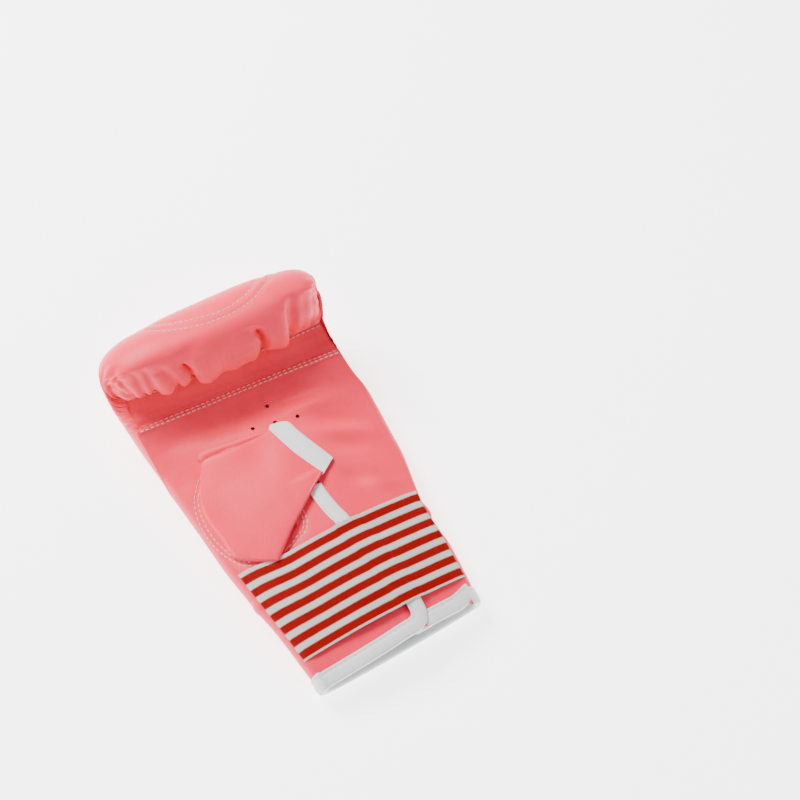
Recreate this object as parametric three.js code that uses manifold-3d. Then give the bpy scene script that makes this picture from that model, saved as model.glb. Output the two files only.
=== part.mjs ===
// Bag glove for the left hand, lying on its padded back with the palm up. Millimetres.
// X runs across the glove with the thumb on the low side, Y runs from the wrist to the
// knuckles and Z is up. The glove is first drawn straight, and settle() then gives it the
// lean and slant of a soft glove that lies as it fell.

import * as THREE from 'three';
import { mergeVertices } from 'three/addons/utils/BufferGeometryUtils.js';
import Module from 'manifold-3d';

const wasm = await Module();
wasm.setup();

// Driving sizes of the whole glove
const padLength = 180;
const cuffLength = 55;
const fistWidth = 143;
const fistHeight = 80;
const palmHeight = 35;
const padThickness = 15;
const flankThickness = 7;
const seamLip = 3;
const restingFlat = 1.4;

// Driving sizes of the sheets and trims
const leather = 2.4;
const cuffWall = 3;
const elasticWidth = 59;
const elasticThickness = 1.5;
const elasticOverLip = 2.4;
const elasticSlant = 3;
const elasticMiddle = -0.12 * cuffLength;
const bindingWidth = 8;
const bindingThickness = 0.9;
const bindingShoulder = 4;
const slitGap = 1.8;
const patchLength = 88;
const patchWidth = 37;
const patchThickness = 1;
const patchSeamMargin = 6.5;
const patchHemMargin = 1.7;

// Driving sizes of the thumb stall and the small holes. stallRise is how far its outer layer
// rises before it folds over, stallFirstLift what both layers rise, stallMouthRun how far
// they run level before the mouth and stallMouthDrop how far the outer one falls there.
const thumbHoleLength = 58;
const thumbHoleWidth = 42;
const stallFlange = 3.5;
const stallMouthWidth = 42;
const stallMouthHeight = 10;
const stallWall = 1.6;
const stallBackLayer = 11.5;
const stallRise = 8;
const stallFirstLift = 1.2;
const stallMouthRun = 14;
const stallMouthDrop = 1.5;
const ventDiameter = 2.4;
const ventPitch = 13.5;

// Clearances: seamGap is between pieces that meet, lift and trimLift are between a piece or
// a thin trim and what it lies on
const seamGap = 0.3;
const lift = 0.6;
const trimLift = 0.4;

// Gap between the palm's edge and the turned-in rim
const rimGap = 0.5;

// How far the finger panel first reaches past the rim, before it is cut to it
const panelOverlap = 1.4;

// Lean and slant of the glove as it lies, the slant growing between two shares of padLength
const leanPerLength = 0.03;
const fistSlant = 0.115;
const slantStart = 0.12;
const slantFull = 0.62;

// How far the middle of the cuff seam hangs towards the wrist
const seamSag = 9;

// Places along the glove: the cuff seam, the hem of the cuff and the two finger seams
const cuffSeam = 0;
const hem = -cuffLength;
const lowerSeamShare = 0.686;
const upperSeamShare = 0.8;
const lowerSeam = lowerSeamShare * padLength;
const upperSeam = upperSeamShare * padLength;

// Mesh steps
const stepsAcross = 14;
const stepsPerRow = 2.3;
const sheetStep = 9;
const cuffSteps = 8;
const fingerSteps = 5;
const elasticSteps = 20;
const elasticRows = 8;
const bindingSteps = 28;
const littleBindingSteps = 8;
const hemSteps = 24;
const holeSteps = 20;
const ventSteps = 6;
const cornerSteps = 4;
const slitSteps = 10;
const stallSides = 26;
const stallSteps = 8;
const patchSteps = 12;
const patchRows = 4;

// Rows of a table as objects, from the names of its columns
const table = (names, rows) => rows.map((row) => (
  Object.fromEntries(names.map((name, index) => [name, row[index]]))
));

// Padded back, one row for each section from the cuff seam to the finger seam. The middle
// of the section, its widest side and its sewn rim are given by how far along they lie (of
// padLength) and how high (of fistHeight). half is the half width and tuck the turn-in of
// the rim (of half fistWidth), wall the thickness (of padThickness), turn the direction in
// degrees from the rim's outer face to its inner one.
const padColumns = [
  'along', 'up', 'sideAlong', 'sideUp', 'rimAlong', 'rimUp', 'half', 'tuck', 'wall', 'turn',
];
const padRows = table(padColumns, [
  // along, up, sideAlong, sideUp, rimAlong, rimUp, half, tuck, wall, turn
  [0.000, 0.088, 0.000, 0.210, 0.000, 0.300, 0.825, 0.08, 0.53, -90],
  [0.094, 0.019, 0.094, 0.190, 0.094, 0.300, 0.853, 0.08, 0.85, -90],
  [0.206, 0.000, 0.206, 0.180, 0.206, 0.300, 0.885, 0.08, 1.00, -90],
  [0.344, 0.000, 0.344, 0.180, 0.344, 0.300, 0.905, 0.08, 1.00, -90],
  [0.483, 0.000, 0.483, 0.190, 0.483, 0.315, 0.935, 0.08, 1.00, -90],
  [0.622, 0.000, 0.617, 0.210, 0.605, 0.365, 0.965, 0.08, 1.00, -88],
  [0.744, 0.006, 0.689, 0.260, 0.670, 0.430, 0.980, 0.09, 1.00, -80],
  [0.856, 0.078, 0.744, 0.340, 0.705, 0.475, 0.990, 0.11, 1.00, -66],
  [0.939, 0.240, 0.789, 0.420, 0.733, 0.500, 1.000, 0.13, 1.00, -50],
  [0.986, 0.450, 0.822, 0.510, 0.756, 0.525, 1.000, 0.14, 1.00, -30],
  [1.000, 0.660, 0.844, 0.590, 0.772, 0.540, 1.000, 0.15, 1.00, -8],
  [0.969, 0.863, 0.856, 0.660, 0.783, 0.548, 0.995, 0.16, 1.00, 14],
  [0.900, 0.980, 0.856, 0.710, 0.789, 0.552, 0.985, 0.16, 1.00, 36],
  [0.822, 1.000, 0.839, 0.730, 0.794, 0.553, 0.970, 0.15, 1.00, 56],
  [0.756, 0.925, 0.817, 0.700, 0.797, 0.552, 0.945, 0.13, 0.93, 70],
  [0.717, 0.790, 0.789, 0.650, 0.799, 0.551, 0.920, 0.11, 0.80, 80],
  [0.712, 0.670, 0.774, 0.610, 0.800, 0.550, 0.890, 0.08, 0.60, 86],
  [0.739, 0.600, 0.780, 0.580, 0.800, 0.550, 0.860, 0.05, 0.37, 90],
  [0.800, 0.556, 0.800, 0.554, 0.800, 0.550, 0.840, 0.03, 0.23, 90],
]);

// How boxy the sections are, 2 being an oval, where the side of the inner wall lies between
// its middle and its rim, and the share of a section from its middle to its widest side
const boxiness = 3.2;
const innerSideShare = 0.45;
const sideShare = 0.7;

// Cuff, rows from the cuff seam to the hem with the same columns, along being of cuffLength
const cuffRows = [
  { along: 0.00, up: 0.106, sideUp: 0.212, rimUp: 0.300, half: 0.815, tuck: 0.07 },
  { along: 0.33, up: 0.080, sideUp: 0.190, rimUp: 0.285, half: 0.785, tuck: 0.07 },
  { along: 0.68, up: 0.060, sideUp: 0.165, rimUp: 0.265, half: 0.760, tuck: 0.07 },
  { along: 1.00, up: 0.050, sideUp: 0.135, rimUp: 0.220, half: 0.735, tuck: 0.07 },
];

// How far round the section the hem's binding reaches, on each side
const cuffBindingShare = 0.9;

// Gathers of the skin on the underside of the roll: where across (of half the width), how
// deep (of the roll's bulge) and how wide (of half the width)
const gathers = [
  { across: -0.72, depth: 0.22, wide: 0.05 },
  { across: -0.56, depth: 0.26, wide: 0.05 },
  { across: -0.33, depth: 0.55, wide: 0.065 },
  { across: 0.36, depth: 0.50, wide: 0.065 },
  { across: 0.68, depth: 0.34, wide: 0.06 },
];

// The row of padRows that the gathers lie on and how many rows they spread over
const gatherRow = 15.9;
const gatherSpread = 1.3;

// Pleats of the flanks: depth, rows of padRows from one to the next, where they start and
// end, where across the section they are deepest and how wide they are
const flankPleatDepth = 1.3;
const flankPleatRows = 1.7;
const flankPleatStart = 7.5;
const flankPleatEnd = 16;
const flankPleatFade = 1;
const flankPleatPlace = 0.74;
const flankPleatSpread = 0.2;

// Sag of the cuff seam: how far it spreads (of padLength) and between which heights it
// fades (of fistHeight)
const sagSpread = 0.16;
const sagLow = 0.10;
const sagHigh = 0.22;

// Height of the palm along its middle, from the hem to the lower finger seam
const palmRows = [
  { along: 0.00, up: 0.70 },
  { along: 0.12, up: 0.79 },
  { along: 0.28, up: 0.89 },
  { along: 0.45, up: 0.97 },
  { along: 0.65, up: 1.00 },
  { along: 0.82, up: 0.98 },
  { along: 0.93, up: 1.00 },
  { along: 1.00, up: 1.07 },
];

// Hollows and soft ridges of the palm: place across (of half the palm) and along (of the
// palm's length), length along and width across (of the same), turn in degrees, height (of
// palmHeight)
const palmFolds = [
  { across: -0.25, along: 0.90, length: 0.05, width: 0.42, turn: -6, height: -0.13 },
  { across: 0.30, along: 0.86, length: 0.03, width: 0.34, turn: 8, height: -0.05 },
  { across: 0.50, along: 0.74, length: 0.025, width: 0.28, turn: -28, height: 0.045 },
  { across: 0.58, along: 0.62, length: 0.025, width: 0.28, turn: -40, height: 0.04 },
  { across: 0.62, along: 0.50, length: 0.03, width: 0.20, turn: -12, height: -0.04 },
];

// Slit of the palm, as the way of its edge across (of half the palm) from the hem upwards
const slitRows = [
  { along: 0.00, across: 0.440 },
  { along: 0.05, across: 0.450 },
  { along: 0.11, across: 0.450 },
  { along: 0.26, across: 0.370 },
  { along: 0.46, across: 0.215 },
  { along: 0.55, across: 0.165 },
  { along: 0.62, across: 0.165 },
];
const slitTopShare = 0.62;
const bindingTopShare = 0.59;

// How sharply the palm falls to its rim, as the power of its dome
const palmDome = 2.2;

// Finger panel, rows from the lower to the upper seam: along between them, up (of fistHeight)
const fingerRows = [
  { along: 0.0, up: 0.468 },
  { along: 0.3, up: 0.482 },
  { along: 0.6, up: 0.515 },
  { along: 1.0, up: 0.5415 },
];

// Half width of the panel at its upper seam (of half fistWidth), and how sharply its ends
// follow the height of the rim, as a power
const fingerTopShare = 0.81;
const fingerEndPower = 6;

// Places of the thumb hole and the stall's mouth, across of half the palm, along of its length
const thumbHolePlace = { across: -0.52, along: 0.627 };
const stallMouthPlace = { across: 0.115, along: 0.726 };
const stallMouthTurn = -72;
const thumbHoleTurn = 6;
const ventPlace = { across: 0.105, along: 0.86 };
const ventTurn = -8;

// Colours
const pink = 0xf47f86;
const deepPink = 0xe8737b;
const white = 0xe9e9e6;
const red = 0xc01212;

const halfFist = fistWidth / 2;
const palmLength = lowerSeam - hem;

const smooth = (low, high, value) => THREE.MathUtils.smoothstep(value, low, high);
const bell = (distance, width) => Math.exp(-((distance / width) ** 2));

// Value of one column of a table at a row position between rows
function columnAt(rows, column, position) {
  const last = rows.length - 1;
  const row = Math.min(Math.floor(position), last - 1);
  const part = position - row;
  const value = (index) => rows[THREE.MathUtils.clamp(index, 0, last)][column];
  const before = value(row - 1);
  const here = value(row);
  const next = value(row + 1);
  const after = value(row + 2);
  const slopeHere = (next - before) / 2;
  const slopeNext = (after - here) / 2;
  const square = part * part;
  const cube = square * part;
  return (2 * cube - 3 * square + 1) * here + (cube - 2 * square + part) * slopeHere
    + (3 * square - 2 * cube) * next + (cube - square) * slopeNext;
}

// Value of one column where the along column has a given value
function columnAlong(rows, column, along) {
  let row = 0;
  while (row < rows.length - 2 && rows[row + 1].along < along) row += 1;
  const span = rows[row + 1].along - rows[row].along;
  const part = THREE.MathUtils.clamp((along - rows[row].along) / span, 0, 1);
  return columnAt(rows, column, row + part);
}

// The lie of the finished glove: it leans over its length and its fist is slanted
function settle(point) {
  const slanted = smooth(slantStart * padLength, slantFull * padLength, point.y);
  const slant = fistSlant * point.x * slanted;
  return new THREE.Vector3(point.x - leanPerLength * point.y, point.y - slant, point.z);
}

// One section of the padded back at a row position, as the three places that shape it
function padSection(position, grow) {
  const size = (column, unit) => columnAt(padRows, column, position) * unit;
  const rim = new THREE.Vector2(size('rimAlong', padLength), size('rimUp', fistHeight));
  return {
    middle: new THREE.Vector2(size('along', padLength), size('up', fistHeight)),
    side: new THREE.Vector2(size('sideAlong', padLength), size('sideUp', fistHeight)),
    rim: rim.addScaledVector(lipDirection(position), -grow),
    half: size('half', halfFist) + grow,
    tuck: size('tuck', halfFist) + 2 * grow,
  };
}

// Direction across the sewn rim, from its outer face to its inner one
function lipDirection(position) {
  const turn = THREE.MathUtils.degToRad(columnAt(padRows, 'turn', position));
  return new THREE.Vector2(Math.cos(turn), Math.sin(turn));
}

// Direction into the padding at the middle of a section
function inwardAt(position) {
  const step = 0.05;
  const last = padRows.length - 1;
  const before = padSection(Math.max(position - step, 0), 0).middle;
  const after = padSection(Math.min(position + step, last), 0).middle;
  const run = after.sub(before).normalize();
  return new THREE.Vector2(-run.y, run.x);
}

// The same section on the inside of the wall, from the wall and lip sizes
function padInnerSection(position, grow) {
  const outer = padSection(position, 0);
  const wall = columnAt(padRows, 'wall', position) * padThickness + grow;
  const middle = outer.middle.clone().addScaledVector(inwardAt(position), wall);
  const rim = outer.rim.clone().addScaledVector(lipDirection(position), seamLip + grow);
  const side = middle.clone().lerp(rim, innerSideShare);
  const half = outer.half - flankThickness - grow;
  return { middle, side, rim, half, tuck: half - (outer.half - outer.tuck) + grow };
}

// Point of a section: place runs from -1 at the thumb rim over 0 in the middle to 1 at the
// other rim. Up to the widest side it follows a boxy oval, then a quarter round to the rim.
function sectionPoint(section, place) {
  const sign = Math.sign(place);
  const way = Math.abs(place);
  if (way <= sideShare) {
    const angle = (way / sideShare) * (Math.PI / 2);
    const across = Math.sin(angle) ** (2 / boxiness);
    const bulge = Math.max(Math.cos(angle), 0) ** (2 / boxiness);
    const spot = section.side.clone().lerp(section.middle, bulge);
    return new THREE.Vector3(sign * section.half * across, spot.x, spot.y);
  }
  const angle = ((way - sideShare) / (1 - sideShare)) * (Math.PI / 2);
  const spot = section.side.clone().lerp(section.rim, Math.sin(angle));
  const across = section.half - section.tuck * (1 - Math.cos(angle));
  return new THREE.Vector3(sign * across, spot.x, spot.y);
}

// Closed body between an outer and an inner grid of points, with strips round the edges
function sheetBody(outerAt, innerAt, columns, rows) {
  const positions = [];
  const indices = [];
  const count = (columns + 1) * (rows + 1);
  for (const pointAt of [outerAt, innerAt]) {
    for (let row = 0; row <= rows; row += 1) {
      for (let column = 0; column <= columns; column += 1) {
        const point = pointAt(column / columns, row / rows);
        positions.push(point.x, point.y, point.z);
      }
    }
  }
  const outer = (column, row) => row * (columns + 1) + column;
  const inner = (column, row) => count + outer(column, row);
  const quad = (a, b, c, d) => indices.push(a, b, c, a, c, d);
  for (let row = 0; row < rows; row += 1) {
    for (let column = 0; column < columns; column += 1) {
      const next = column + 1;
      quad(outer(column, row), outer(next, row), outer(next, row + 1), outer(column, row + 1));
      quad(inner(column, row), inner(column, row + 1), inner(next, row + 1), inner(next, row));
    }
    quad(outer(0, row), outer(0, row + 1), inner(0, row + 1), inner(0, row));
    quad(outer(columns, row), inner(columns, row), inner(columns, row + 1), outer(columns, row + 1));
  }
  for (let column = 0; column < columns; column += 1) {
    quad(outer(column, 0), inner(column, 0), inner(column + 1, 0), outer(column + 1, 0));
    quad(outer(column, rows), outer(column + 1, rows), inner(column + 1, rows), inner(column, rows));
  }
  return meshBody(positions, indices);
}

// Closed body of rings of points, each ring a closed loop, joined in turn. The last ring
// joins the first one in a closed body, and otherwise both ends are filled with a fan.
function ringBody(rings, closed) {
  const positions = [];
  const indices = [];
  const size = rings[0].length;
  for (const ring of rings) {
    for (const point of ring) positions.push(point.x, point.y, point.z);
  }
  const joins = closed ? rings.length : rings.length - 1;
  for (let ring = 0; ring < joins; ring += 1) {
    const next = (ring + 1) % rings.length;
    for (let side = 0; side < size; side += 1) {
      const a = ring * size + side;
      const b = ring * size + ((side + 1) % size);
      const c = next * size + ((side + 1) % size);
      const d = next * size + side;
      indices.push(a, b, c, a, c, d);
    }
  }
  if (!closed) {
    const last = (rings.length - 1) * size;
    const half = size / 2;
    for (let side = 0; side < half - 1; side += 1) {
      const mirror = size - 1 - side;
      indices.push(side, mirror, mirror - 1, side, mirror - 1, side + 1);
      indices.push(last + side, last + mirror - 1, last + mirror);
      indices.push(last + side, last + side + 1, last + mirror - 1);
    }
  }
  return meshBody(positions, indices);
}

// Solid of a mesh whose faces may still point inwards
function meshBody(positions, indices) {
  const geometry = new THREE.BufferGeometry();
  geometry.setAttribute('position', new THREE.Float32BufferAttribute(positions, 3));
  geometry.setIndex(indices);
  return solidOf(geometry);
}

// Manifold solid of a geometry, with its faces turned outwards
function solidOf(geometry) {
  geometry.deleteAttribute('normal');
  geometry.deleteAttribute('uv');
  const merged = mergeVertices(geometry, 1e-4);
  const place = merged.getAttribute('position');
  const corners = Array.from(merged.getIndex().array);
  const used = [];
  let volume = 0;
  const a = new THREE.Vector3();
  const b = new THREE.Vector3();
  const c = new THREE.Vector3();
  for (let start = 0; start < corners.length; start += 3) {
    const [first, second, third] = corners.slice(start, start + 3);
    if (first === second || second === third || third === first) continue;
    used.push(first, second, third);
    a.fromBufferAttribute(place, first);
    b.fromBufferAttribute(place, second);
    c.fromBufferAttribute(place, third);
    volume += a.dot(b.cross(c));
  }
  if (volume < 0) {
    for (let start = 0; start < used.length; start += 3) {
      [used[start + 1], used[start + 2]] = [used[start + 2], used[start + 1]];
    }
  }
  const mesh = new wasm.Mesh({
    numProp: 3,
    vertProperties: new Float32Array(place.array),
    triVerts: new Uint32Array(used),
  });
  return new wasm.Manifold(mesh);
}

// Largest body of a solid that a cut has left in pieces
function largest(solid) {
  const bodies = solid.decompose();
  return bodies.reduce((best, body) => (body.volume() > best.volume() ? body : best));
}

// Sag of the cuff seam on the back of the glove: its middle hangs towards the wrist
function sagged(point, half) {
  const share = Math.min(Math.abs(point.x) / half, 1);
  const low = 1 - smooth(sagLow * fistHeight, sagHigh * fistHeight, point.z);
  const near = bell(point.y - cuffSeam, sagSpread * padLength);
  point.y -= seamSag * (1 - share * share) * near * low;
  return point;
}

// How far a place across the roll lies inside the gathers
function gatherAt(share, position) {
  const along = bell(position - gatherRow, gatherSpread);
  let depth = 0;
  for (const gather of gathers) depth += gather.depth * bell(share - gather.across, gather.wide);
  return depth * along;
}

// Pleats of the flank between the palm seam and the roll
function flankPleat(place, position) {
  const side = bell(Math.abs(place) - flankPleatPlace, flankPleatSpread);
  const begun = smooth(flankPleatStart - flankPleatFade, flankPleatStart + flankPleatFade, position);
  const ended = smooth(flankPleatEnd - flankPleatFade, flankPleatEnd + flankPleatFade, position);
  return flankPleatDepth * side * begun * (1 - ended) * Math.cos((2 * Math.PI * position) / flankPleatRows);
}

// Padded back with the fist roll, wider by grow all round where it serves as a cutter
function padBody(grow) {
  const last = padRows.length - 1;
  const outerAt = (column, row) => {
    const place = column * 2 - 1;
    const position = row * last;
    const section = padSection(position, grow);
    section.middle.addScaledVector(inwardAt(position), -grow);
    const share = sectionPoint(section, place).x / section.half;
    section.middle.lerp(section.side, gatherAt(share, position));
    section.half += flankPleat(place, position);
    const point = sagged(sectionPoint(section, place), section.half - grow);
    point.z = Math.max(point.z - restingFlat, -grow);
    point.y -= row === 0 ? 2 * grow : 0;
    return settle(point);
  };
  const innerAt = (column, row) => {
    const position = row * last;
    const section = padInnerSection(position, grow);
    const point = sagged(sectionPoint(section, column * 2 - 1), section.half + grow);
    point.z -= restingFlat;
    point.y -= row === 0 ? 2 * grow : 0;
    return settle(point);
  };
  return sheetBody(outerAt, innerAt, 2 * stepsAcross, Math.round(last * stepsPerRow));
}

// One section of the cuff at a distance from the cuff seam
function cuffSection(along) {
  const share = along / cuffLength;
  const size = (column, unit) => columnAlong(cuffRows, column, share) * unit;
  const at = (height) => new THREE.Vector2(cuffSeam - along, height);
  return {
    middle: at(size('up', fistHeight)),
    side: at(size('sideUp', fistHeight)),
    rim: at(size('rimUp', fistHeight)),
    half: size('half', halfFist),
    tuck: size('tuck', halfFist),
  };
}

// Point of the cuff: depth is how far inside its outer face
function cuffPoint(along, place, depth) {
  const section = cuffSection(along);
  const rimAcross = section.half - section.tuck;
  section.half -= depth;
  section.tuck = section.half - rimAcross;
  section.middle.y += depth;
  section.rim.y -= depth;
  section.side.lerp(section.rim, depth / (2 * cuffWall));
  const point = sagged(sectionPoint(section, place), section.half);
  point.z -= restingFlat;
  return point;
}

function cuffBody() {
  const length = cuffLength - seamGap - 2 * bindingThickness;
  const at = (depth) => (column, row) => (
    settle(cuffPoint(seamGap + row * length, column * 2 - 1, depth))
  );
  return sheetBody(at(0), at(cuffWall), 2 * stepsAcross, cuffSteps);
}

// Where the rim of a section lies along, its half width and height, and those of its side
const rimOf = ({ half, tuck, rim, side }) => (
  { along: rim.x, half: half - tuck, side: half, up: rim.y, low: side.y }
);

// Rim of the glove where the palm is sewn in, from the hem to the lower finger seam
const rimLastRow = 8;
const rimRowStep = 0.5;
const rimLine = [];
for (let along = cuffLength; along > 0; along -= cuffLength / cuffSteps) {
  const section = cuffSection(along);
  rimLine.push(rimOf(section));
}
for (let position = 0; position <= rimLastRow; position += rimRowStep) {
  const section = padSection(position, 0);
  rimLine.push(rimOf(section));
}

function rimAt(along) {
  let index = 0;
  while (index < rimLine.length - 2 && rimLine[index + 1].along < along) index += 1;
  const a = rimLine[index];
  const b = rimLine[index + 1];
  const part = THREE.MathUtils.clamp((along - a.along) / (b.along - a.along), 0, 1);
  const mix = (key) => THREE.MathUtils.lerp(a[key], b[key], part);
  return { half: mix('half'), side: mix('side'), up: mix('up'), low: mix('low') };
}

// Height of the palm leather's outer face above the floor
function palmTop(across, along) {
  const rim = rimAt(along);
  const share = (along - hem) / palmLength;
  const crown = columnAlong(palmRows, 'up', share) * palmHeight;
  const reach = Math.min(Math.abs(across) / rim.half, 1);
  const dome = 1 - reach ** palmDome;
  let height = rim.up + (crown - rim.up) * dome;
  for (const fold of palmFolds) {
    const turn = THREE.MathUtils.degToRad(fold.turn);
    const x = across - fold.across * rim.half;
    const y = along - hem - fold.along * palmLength;
    const run = x * Math.cos(turn) + y * Math.sin(turn);
    const rise = y * Math.cos(turn) - x * Math.sin(turn);
    const spread = bell(run, fold.width * rim.half) * bell(rise, fold.length * palmLength);
    height += fold.height * palmHeight * spread * dome;
  }
  return height - restingFlat;
}

// Height of whatever lies on top of the glove there, palm or turned-in rim
function coverTop(across, along) {
  const rim = rimAt(along);
  const past = Math.abs(across) - rim.half;
  if (past <= 0) return palmTop(across, along);
  const share = Math.min(past / (rim.side - rim.half), 1);
  return rim.low + (rim.up - rim.low) * Math.sqrt(1 - share * share) - restingFlat;
}

// Way of the slit's middle line across the palm
function slitAcross(along) {
  const share = (along - hem) / palmLength;
  return columnAlong(slitRows, 'across', share) * rimAt(along).half;
}

// Edge of the thumb flap along the slit, and the hem and rounded corner of the flap
const flapHem = hem + 2 * bindingThickness;
const flapCorner = 11.2;

function slitEdge(along) {
  return slitAcross(along) - slitGap / 2 - seamGap;
}

// Thin sheet on the palm between two heights over the cover, drawn on a grid of places
function palmSheet(placeAt, low, high, columns, rows) {
  const at = (height) => (column, row) => {
    const [across, along] = placeAt(column, row);
    const under = coverTop(across, along) + bindingRise(across, along);
    return settle(new THREE.Vector3(across, along, under + height));
  };
  return sheetBody(at(high), at(low), columns, rows);
}

// Foot and top of the blocks that cut the palm (of palmHeight)
const cutterLow = 0.2;
const cutterHigh = 1.6;

// Upright block whose outline follows a list of places on the palm, for cutting it
function palmCutter(places) {
  const ring = (height) => places.map(([across, along]) => (
    settle(new THREE.Vector3(across, along, height))
  ));
  return ringBody([ring(cutterLow * palmHeight), ring(cutterHigh * palmHeight)], false);
}

// Places on an oval on the palm, starting and ending so that a fan can fill it
function ovalPlaces(centre, halfAcross, halfAlong, turnDegrees, count) {
  const turn = THREE.MathUtils.degToRad(turnDegrees);
  const places = [];
  for (let step = 0; step < count; step += 1) {
    const angle = ((step + 0.5) / count) * 2 * Math.PI;
    const x = halfAcross * Math.sin(angle);
    const y = halfAlong * Math.cos(angle);
    const across = centre[0] + x * Math.cos(turn) - y * Math.sin(turn);
    places.push([across, centre[1] + x * Math.sin(turn) + y * Math.cos(turn)]);
  }
  return places;
}

function palmPlace({ across, along }) {
  const distance = hem + along * palmLength;
  return [across * rimAt(distance).half, distance];
}

// Outline of the slit, down one edge and up the other, with the thumb flap's corner rounded
function slitPlaces() {
  const top = hem + slitTopShare * palmLength;
  const bend = flapHem + flapCorner;
  const cornerAcross = slitEdge(bend) - flapCorner;
  const down = [];
  const up = [];
  const cut = (thumbSide, along) => {
    down.push([thumbSide - seamGap, along]);
    up.unshift([slitAcross(Math.max(along, hem)) + slitGap / 2, along]);
  };
  for (let row = 0; row <= slitSteps; row += 1) {
    const along = THREE.MathUtils.lerp(top, bend, row / slitSteps);
    cut(slitEdge(along), along);
  }
  for (let turn = 1; turn <= cornerSteps; turn += 1) {
    const angle = (turn / cornerSteps) * (Math.PI / 2);
    cut(cornerAcross + flapCorner * Math.cos(angle), bend - flapCorner * Math.sin(angle));
  }
  cut(cornerAcross, hem - leather);
  return [...down, ...up];
}

function palmBody() {
  const sheetLength = lowerSeam - seamGap / 2 - flapHem;
  const placeAt = (column, row) => {
    const along = flapHem + row * sheetLength;
    return [(column * 2 - 1) * (rimAt(along).half - rimGap), along];
  };
  const at = (depth) => (column, row) => {
    const [across, along] = placeAt(column, row);
    return settle(new THREE.Vector3(across, along, palmTop(across, along) - depth));
  };
  const columns = Math.round(fistWidth / sheetStep);
  const rows = Math.round(palmLength / sheetStep);
  let body = sheetBody(at(0), at(leather), columns, rows);
  const centre = palmPlace(thumbHolePlace);
  const hole = ovalPlaces(centre, thumbHoleWidth / 2, thumbHoleLength / 2, thumbHoleTurn, holeSteps);
  body = body.subtract(palmCutter(hole)).subtract(palmCutter(slitPlaces()));
  for (const place of ventPlaces()) {
    const vent = ovalPlaces(place, ventDiameter / 2, ventDiameter / 2, 0, ventSteps);
    body = body.subtract(palmCutter(vent));
  }
  return body;
}

// Five air holes, one in the middle and four round it
function ventPlaces() {
  const centre = palmPlace(ventPlace);
  const places = [centre];
  for (let hole = 0; hole < 4; hole += 1) {
    const angle = THREE.MathUtils.degToRad(ventTurn + 90 * hole);
    places.push([centre[0] + ventPitch * Math.cos(angle), centre[1] + ventPitch * Math.sin(angle)]);
  }
  return places;
}

// Finger panel between the two seams, tucked under the gathered edge of the roll
function fingerBody() {
  const start = lowerSeam + seamGap / 2;
  const length = upperSeam + seamLip / 3 - start;
  const at = (depth) => (column, row) => {
    const along = start + row * length;
    const up = columnAlong(fingerRows, 'up', row) * fistHeight;
    const half = THREE.MathUtils.lerp(rimAt(lowerSeam).half, fingerTopShare * halfFist, row) + panelOverlap;
    const across = (column * 2 - 1) * half;
    const ends = (rimAt(lowerSeam).up - up) * Math.abs(column * 2 - 1) ** fingerEndPower * (1 - row);
    return settle(new THREE.Vector3(across, along, up + ends - depth - restingFlat));
  };
  const columns = Math.round(fistWidth / sheetStep);
  const panel = sheetBody(at(0), at(leather), columns, fingerSteps);
  return largest(panel.subtract(padBody(seamGap)));
}

// Wide elastic over the wrist, sewn down at both ends
function elasticBody() {
  const placeAt = (column, row) => {
    const straight = elasticMiddle + (row - 0.5) * elasticWidth;
    const along = straight - (column - 0.5) * elasticSlant;
    const half = rimAt(straight).half + elasticOverLip;
    return [(column * 2 - 1) * half, along];
  };
  return palmSheet(placeAt, lift, lift + elasticThickness, elasticSteps, elasticRows);
}

// Height that the slit's binding adds to the palm, so that what lies over it clears it
function bindingRise(across, along) {
  const edge = slitAcross(along) - slitGap / 2;
  const inner = edge - bindingWidth - 1;
  const outer = edge + slitGap;
  const top = hem + slitTopShare * palmLength;
  const inside = smooth(inner - bindingShoulder, inner, across);
  const outside = 1 - smooth(outer, outer + bindingShoulder, across);
  const below = 1 - smooth(top, top + bindingShoulder, along);
  return (trimLift + bindingThickness) * inside * outside * below;
}

// Binding folded over the edge of a sheet of a given thickness. pointAt gives the place that
// lies a distance out past the edge and a height over the sheet, at a share of the way.
function bindingBody(pointAt, sheet, steps) {
  const high = trimLift + bindingThickness;
  const out = seamGap + bindingThickness;
  const profile = [
    [-bindingWidth, trimLift],
    [-bindingWidth, high],
    [-bindingWidth / 2, high],
    [0, high],
    [0.8 * out, 0.5 * high],
    [out, -0.4 * sheet],
    [out, -sheet],
    [seamGap, -sheet],
    [seamGap, -0.4 * sheet],
    [seamGap, 0],
    [0, trimLift],
    [-bindingWidth / 2, trimLift],
  ];
  const rings = [];
  for (let step = 0; step <= steps; step += 1) {
    rings.push(profile.map(([away, rise]) => settle(pointAt(step / steps, away, rise))));
  }
  return ringBody(rings, false);
}

// Point over the edge of a palm flap: a place on the edge and the way out over it, then how
// far out and how high the point is
function flapPoint(place, outward, away, rise) {
  const inside = Math.min(away, 0);
  const height = coverTop(place[0] + outward[0] * inside, place[1] + outward[1] * inside);
  return new THREE.Vector3(place[0] + outward[0] * away, place[1] + outward[1] * away, height + rise);
}

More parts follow.
